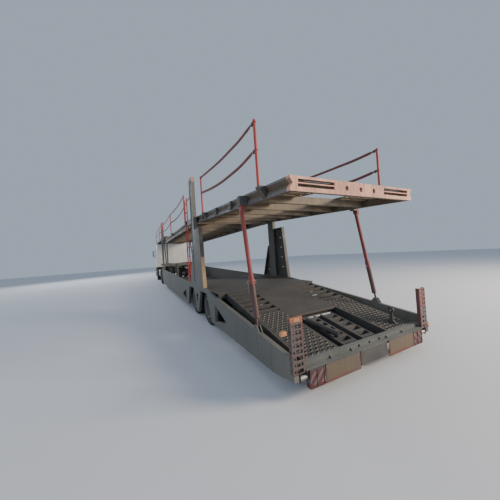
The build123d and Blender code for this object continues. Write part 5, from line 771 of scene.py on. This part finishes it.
arm = round_bar("lamp_arm", (LAMP_X, PANEL_Y, ARM_Z), (LAMP_X, 1.330, 0.778), 0.016, 0.011)
lamp = lens_block("outline_lens", (-9.776, 1.322, 0.758), (-9.738, 1.392, 0.804), BACKWARD)
half_round = (Matrix.Translation((LAMP_X, 0, 0)) @ Matrix.Rotation(math.pi, 4, "Z")
              @ Matrix.Translation((-LAMP_X, 0, 0)))
hanging = (Matrix.Translation((0.0, -PANEL_Y, RIGHT_LAMP_Z))
           @ Matrix.Rotation(RIGHT_LAMP_TURN, 4, "X"))
to_the_right = hanging @ Matrix.Translation((0.0, PANEL_Y, -ARM_Z)) @ half_round
arms = [arm, copied(arm, "arm_right", to_the_right)]
lamps = [lamp, copied(lamp, "lens_right", to_the_right)]
reflector = lens_block("reflector", (-9.7725, 1.127, 0.848), (-9.7640, 1.263, 0.925), BACKWARD)
dressed(joined("outline_lamp_arms", arms), HOOK_BLACK, "black_plastic", "trailer")
dressed(joined("outline_lamp_lenses", lamps + [reflector]), AMBER, "lamp_clear", "trailer")

rollers, cheeks = [], []
for side in (-1, 1):
    bpy.ops.mesh.primitive_cylinder_add(vertices=32, radius=ROLLER_RADIUS, depth=ROLLER_LONG,
                                        location=(ROLLER_X, side * ROLLER_Y, ROLLER_Z),
                                        rotation=(QUARTER, 0, 0))
    roller = started("roller")
    pick(roller, lambda c, n: abs(n.y) > 0.9)
    bpy.ops.mesh.inset(thickness=0.004, depth=0.003)
    bpy.ops.mesh.inset(thickness=0.008, depth=-0.006)
    bpy.ops.object.mode_set(mode="OBJECT")
    ends = [(ROLLER_X, side * y, ROLLER_Z) for y in ROLLER_PIN_Y]
    rollers += [roller, round_bar("pin", *ends, 0.009)]
    for y in CHEEK_Y:
        cheeks.append(slab("cheek", (-9.788, side * y - CHEEK_HALF, 0.236),
                           (-9.729, side * y + CHEEK_HALF, 0.342), 0.0025))
dressed(joined("corner_rollers", rollers), ROLLER_STEEL, "eye_steel", "trailer")
dressed(joined("roller_cheeks", cheeks), HOOK_BLACK, "chassis_black", "trailer")
print("corner pieces:", len(rollers) // 2, "rollers and", len(lamps), "outline lamps")

# %% [markdown]
# The corner posts are light pressed channels, more hole than metal. The left one has a column of
# wide windows like a ladder and a column of small ones beside it, the right one only small windows
# and a closed inner wall. Cutting holes one by one is slow, so the channel is drawn once as a line
# in plan, with a point wherever a window begins or ends, and extruded upwards level by level. The
# faces that fall in a window are deleted, and Solidify gives the sheet its wall.

# %% The latticed corner posts
FLANGE_EDGE_X, WEB_X = -9.730, -9.7765
FLANGE_WINDOW_X = (-9.763, -9.739)
OUTER_Y, INNER_Y, MIDDLE_Y = 1.2715, 1.1185, 1.2
SMALL_WINDOW_Y, WIDE_WINDOW_Y, NARROW_WINDOW_Y = (1.236, 1.258), (1.139, 1.221), (1.162, 1.198)
SMALL_SHARE, WIDE_SHARE = (0.30, 0.70), (0.18, 0.82)  # a window's height as shares of a row
POST_FOOT, POST_ROWS = 0.33, 9
POST_ROW = 0.60 / POST_ROWS
SHEET, SHEET_BEVEL = 0.007, 0.0012

flange = [FLANGE_EDGE_X, FLANGE_WINDOW_X[1], FLANGE_WINDOW_X[0]]
web = sorted((OUTER_Y, INNER_Y, *SMALL_WINDOW_Y, *WIDE_WINDOW_Y, *NARROW_WINDOW_Y), reverse=True)
plan = [(x, OUTER_Y) for x in flange] + [(WEB_X, y) for y in web]
plan += [(x, INNER_Y) for x in reversed(flange)]
levels = [POST_ROW * share for share in sorted((*SMALL_SHARE, *WIDE_SHARE, 1.0))]


def between(value, limits):
    """Whether a value lies between two limits."""
    return limits[0] < value < limits[1]


def lattice_post(name, wide):
    """The left corner post, with wide or with small windows."""
    piece = drawn_line(name, [(x, y, POST_FOOT) for x, y in plan])
    bpy.ops.mesh.select_all(action="SELECT")
    for row in range(POST_ROWS):
        for low, high in zip([0.0] + levels, levels):
            extruded_by((0, 0, high - low))
    bpy.ops.object.mode_set(mode="OBJECT")

    def in_window(c, n):
        share = ((c.z - POST_FOOT) % POST_ROW) / POST_ROW
        if wide and between(share, WIDE_SHARE) and between(c.y, WIDE_WINDOW_Y):
            return True
        if not between(share, SMALL_SHARE):
            return False
        in_flange = between(c.x, FLANGE_WINDOW_X) and (wide or c.y > MIDDLE_Y)
        in_web = between(c.y, SMALL_WINDOW_Y) or not wide and between(c.y, NARROW_WINDOW_Y)
        return in_flange or in_web

    cut = pick(piece, in_window)
    bpy.ops.mesh.delete(type="FACE")
    closed_up(piece)
    sheet = piece.modifiers.new("wall", "SOLIDIFY")
    sheet.thickness, sheet.offset, sheet.use_even_offset = SHEET, 0.0, True
    edge_round = piece.modifiers.new("edges", "BEVEL")
    edge_round.width, edge_round.segments = SHEET_BEVEL, 1
    alone(piece)
    for step in ("wall", "edges"):
        bpy.ops.object.modifier_apply(modifier=step)
    print(name, "has", cut, "faces cut out and is", round(piece.dimensions.z, 3), "m high")
    return piece


ladder_like = lattice_post("lattice_left", True)
closer = lattice_post("lattice_right", False)
across = Matrix.Diagonal((1.0, -1.0, 1.0, 1.0))
mirrored_one = closed_up(copied(closer, "lattice_mirrored", across))
bpy.data.objects.remove(closer)
lattices = joined("corner_lattices", [ladder_like, mirrored_one])
dressed(lattices, slot_paints["post_orange"], "post_orange", "trailer", "corner_posts")

# %% [markdown]
# The rear tracks are grip plates: every hole was punched from below, which left a raised collar
# round it, and these collars catch the light. One collar is a ring of edges in the lozenge's
# shape, extruded up and drawn in, with a wall from Solidify. The copies stand in the same
# staggered rows as the holes of the solid, turned to the slope of the track.

# %% The collars of the grip plates
GRIP_EDGE = finish("grip_edge", (0.10, 0.098, 0.094), (0.20, 0.19, 0.175), RUST, metal=0.4,
                   rough=0.45, spot_amount=0.5, scale=2.5)
COLLAR_HALF_X, COLLAR_HALF_Y, COLLAR_POINTED = 0.0245, 0.0335, 1.35
COLLAR_HIGH, COLLAR_DRAWN_IN, COLLAR_WALL = 0.008, 0.80, 0.0035
GRIP_ROWS, GRIP_COLUMNS = 20, 6
ROW_APART, COLUMN_APART = 0.06, 0.088
TRACK_REAR, TRACK_MIDDLE_Y, TRACK_TOP = -9.65, 0.765, 0.3995
TRACK_SLOPE = 0.45 / 2.30


def lozenge(value, half):
    """Pull a point of the unit circle towards a lozenge."""
    return half * math.copysign(abs(value) ** COLLAR_POINTED, value)


bpy.ops.mesh.primitive_circle_add(vertices=12, radius=1.0, fill_type="NOTHING")
collar = started("collar")
bpy.ops.object.mode_set(mode="EDIT")
bpy.ops.mesh.select_mode(type="VERT")
shape = bmesh.from_edit_mesh(collar.data)
for point in shape.verts:
    point.co.x = lozenge(point.co.x, COLLAR_HALF_X)
    point.co.y = lozenge(point.co.y, COLLAR_HALF_Y)
bmesh.update_edit_mesh(collar.data)
bpy.ops.mesh.select_all(action="SELECT")
extruded_by((0, 0, COLLAR_HIGH))
bpy.ops.transform.resize(value=(COLLAR_DRAWN_IN, COLLAR_DRAWN_IN, 1.0),
                         center_override=(0, 0, COLLAR_HIGH))
bpy.ops.object.mode_set(mode="OBJECT")
wall = collar.modifiers.new("wall", "SOLIDIFY")
wall.thickness, wall.offset = COLLAR_WALL, 0.0
bpy.ops.object.modifier_apply(modifier="wall")

tilt = Matrix.Rotation(-math.atan(TRACK_SLOPE), 4, "Y")
collars = []
for row in range(GRIP_ROWS):
    x = TRACK_REAR + (row + 0.5) * ROW_APART
    z = TRACK_TOP + (x - TRACK_REAR) * TRACK_SLOPE
    columns = GRIP_COLUMNS - row % 2
    for column in range(columns):
        y = TRACK_MIDDLE_Y + (column - (columns - 1) / 2) * COLUMN_APART
        for side in (-1, 1):
            place = Matrix.Translation((x, side * y, z))
            collars.append(copied(collar, "collar_copy", place @ tilt))
print("collars on", len(collars), "holes; the plate is at",
      round(surface("rear_tracks", (-9.20, 0.485, 3.0), (0, 0, -1)).z, 4), "m where x is -9.20")
dressed(joined("grip_collars", collars), GRIP_EDGE, "deck_steel", "trailer")
bpy.data.objects.remove(collar)

# %% [markdown]
# A third of the way up each stay a locking pin goes through the tube, with a ring to pull it by and
# a short chain of links that keeps it from getting lost. A link is a torus drawn out along one
# axis. Every second link is turned a quarter round the chain's own line, as in a real chain.

# %% The locking pins of the stays
STAY_FOOT_X, STAY_FOOT_Z, STAY_Y = -8.988, 0.636, 1.237
STAY_RUN, STAY_RISE = 0.294, 1.694
PIN_SHARE, PIN_HALF, PIN_RADIUS = 0.36, 0.052, 0.009
RING_OUT, RING_DOWN = 0.048, 0.018
LINKS, LINK_APART, FIRST_LINK_DOWN = 7, 0.0195, 0.046

x = STAY_FOOT_X + PIN_SHARE * STAY_RUN
z = STAY_FOOT_Z + PIN_SHARE * STAY_RISE
drawn_out = Matrix.Diagonal((1.0, 1.5, 1.0, 1.0))
upright = Matrix.Rotation(QUARTER, 4, "X")
for side, body in ((1, "stay_left"), (-1, "stay_right")):
    y = side * STAY_Y
    parts = [round_bar("locking_pin", (x, y - PIN_HALF, z), (x, y + PIN_HALF, z), PIN_RADIUS)]
    for end in (-1, 1):
        parts.append(torus("pull_ring", 0.020, 0.0035, 20, 6,
                           (x, y + end * RING_OUT, z - RING_DOWN), (0, QUARTER, 0)))
    for number in range(LINKS):
        link = torus("link", 0.0085, 0.0026, 14, 6, (0, 0, 0))
        about_chain = Matrix.Rotation(QUARTER * (number % 2), 4, "Y")
        place = Matrix.Translation((x, y + RING_OUT * side,
                                    z - FIRST_LINK_DOWN - LINK_APART * number))
        link.data.transform(place @ upright @ about_chain @ drawn_out)
        parts.append(link)
    dressed(joined(body + "_pin", parts), ROLLER_STEEL, "eye_steel", body)
print("a locking pin on each stay")

# %% [markdown]
# The cab is barely seen in the photograph, but it is looked at from the front as well. It gets door
# handles, wipers that lie on the glass, two roof lamps and mirror glass. Each is set on the solid
# by shooting a ray at it, so that it sits on the real face and not near it.

# %% The small parts of the cab
MIRROR_GLASS = finish("mirror_glass", (0.75, 0.77, 0.80), (0.5, 0.5, 0.5), DUST, metal=1.0,
                      rough=0.04, bump=0.0, dust_amount=0.15, streaks=0.05, spot_amount=0.0)
HANDLE_Z, GRIP_OUT, GRIP_HALF = 1.50, 0.030, 0.007
GLASS_LOW, GLASS_HIGH = 1.75, 2.3
MIRROR_Y, PANE_HALF = 1.365, 0.043
PANE_Z = ((1.925, 2.080), (2.100, 2.395))

for side, word in ((1, "left"), (-1, "right")):
    door = "door_" + word
    face = surface(door, (8.60, side * 2.0, HANDLE_Z), (0, -side, 0)).y
    grip_y = face + side * GRIP_OUT
    plate = slab("handle_plate", (8.520, face - 0.004, 1.470), (8.690, face + 0.004, 1.530), 0.003)
    grip = slab("handle_grip", (8.530, grip_y - GRIP_HALF, 1.488),
                (8.680, grip_y + GRIP_HALF, 1.512), 0.005, 3)
    feet = [round_bar("handle_foot", (x, face, HANDLE_Z), (x, grip_y, HANDLE_Z), 0.009, 0.007, 12)
            for x in (8.545, 8.665)]
    dressed(joined(door + "_handle", [plate, grip] + feet), HOOK_BLACK, "black_plastic",
            door + "_body")

glass_face = surface("windscreen", (11.0, 0.4, GLASS_LOW), BACKWARD).x
glass_above = surface("windscreen", (11.0, 0.4, GLASS_HIGH), BACKWARD).x
lean = (glass_above - glass_face) / (GLASS_HIGH - GLASS_LOW)


def on_glass(y, z, out):
    """A point a little in front of the windscreen."""
    return glass_face + (z - GLASS_LOW) * lean + out, y, z


# Name, start and end as steps from the hub with their heights above the glass, radii, sides.
WIPER_BARS = [
    ("wiper_arm", (0.0, 1.715, 0.020), (-0.40, 1.795, 0.022), 0.010, 0.006, 10),
    ("wiper_hub", (0.0, 1.715, -0.004), (0.0, 1.715, 0.030), 0.020, 0.016, 14),
    ("wiper_blade", (-0.74, 1.765, 0.010), (-0.08, 1.815, 0.010), 0.008, 0.008, 8),
]
wipers = []
for hub_y in (0.86, -0.04):
    for name, (ya, za, out_a), (yb, zb, out_b), radius, tip, sides in WIPER_BARS:
        wipers.append(round_bar(name, on_glass(hub_y + ya, za, out_a),
                                on_glass(hub_y + yb, zb, out_b), radius, tip, sides))
dressed(joined("wipers", wipers), HOOK_BLACK, "black_plastic", "tractor")

roof_lamps = []
for y in (-0.85, 0.85):
    roof = surface("cab_shell", (9.36, y, 4.0), (0, 0, -1)).z
    roof_lamps.append(lens_block("roof_lamp", (9.33, y - 0.055, roof - 0.006),
                                 (9.39, y + 0.055, roof + 0.030), FORWARD))
dressed(joined("roof_lamps", roof_lamps), AMBER, "lamp_clear", "tractor")

panes = []
for side in (-1, 1):
    middle = side * MIRROR_Y
    back = surface("mirrors", (9.0, middle, 2.2), FORWARD).x
    for low, high in PANE_Z:
        panes.append(slab("pane", (back - 0.003, middle - PANE_HALF, low),
                          (back + 0.002, middle + PANE_HALF, high), 0.0015))
dressed(joined("mirror_panes", panes), MIRROR_GLASS, "window_glass", "tractor")
print("cab: handles, wipers, roof lamps and", len(panes), "mirror panes")

# %% [markdown]
# A headlamp is a dark box with two silvered bowls and a bulb in each. The bowl is a turned part:
# its section runs from the back over the rim into the bowl and up to the tip of the bulb, and the
# Spin operator turns it round the lamp's own axis. Both ends of the section lie on that axis, so
# the doubled points there merge and the piece is closed.

# %% The headlamps
SILVERED = finish("silvered_bowl", (0.80, 0.81, 0.82), (0.55, 0.54, 0.52), DUST, metal=1.0,
                  rough=0.10, bump=0.0, dust_amount=0.25, streaks=0.0, spot_amount=0.0)
BOWL_STEPS, BOWL_Z, BOWL_Y = 28, 0.715, (0.870, 1.000)
# Place along the lamp's axis and radius.
bowl_section = [
    (9.7605, 0.0), (9.7605, 0.056), (9.7900, 0.056), (9.7940, 0.052), (9.7900, 0.047),
    (9.7770, 0.040), (9.7690, 0.022), (9.7670, 0.009), (9.7750, 0.008), (9.7800, 0.0),
]
bowls, housings, indicators = [], [], []
for side in (-1, 1):
    for y in BOWL_Y:
        bowl = drawn_line("bowl", [(x, side * y, BOWL_Z + r) for x, r in bowl_section])
        bpy.ops.mesh.select_all(action="SELECT")
        bpy.ops.mesh.spin(steps=BOWL_STEPS, angle=2 * math.pi, center=(0, side * y, BOWL_Z),
                          axis=FORWARD)
        bowls.append(closed_up(bowl))
    low_y, high_y = sorted((side * 0.802, side * 1.108))
    housings.append(slab("housing", (9.752, low_y, 0.642), (9.7895, high_y, 0.788), 0.006))
    low_y, high_y = sorted((side * 1.068, side * 1.102))
    indicators.append(lens_block("indicator", (9.786, low_y, 0.650), (9.795, high_y, 0.780),
                                 FORWARD))
dressed(joined("headlamp_housings", housings), HOOK_BLACK, "black_plastic", "tractor", "headlamps")
dressed(joined("headlamp_bowls", bowls), SILVERED, "lamp_clear", "tractor")
dressed(joined("front_indicators", indicators), AMBER, "lamp_clear", "tractor")
print("headlamps:", len(bowls), "bowls of", len(bowl_section), "points each")
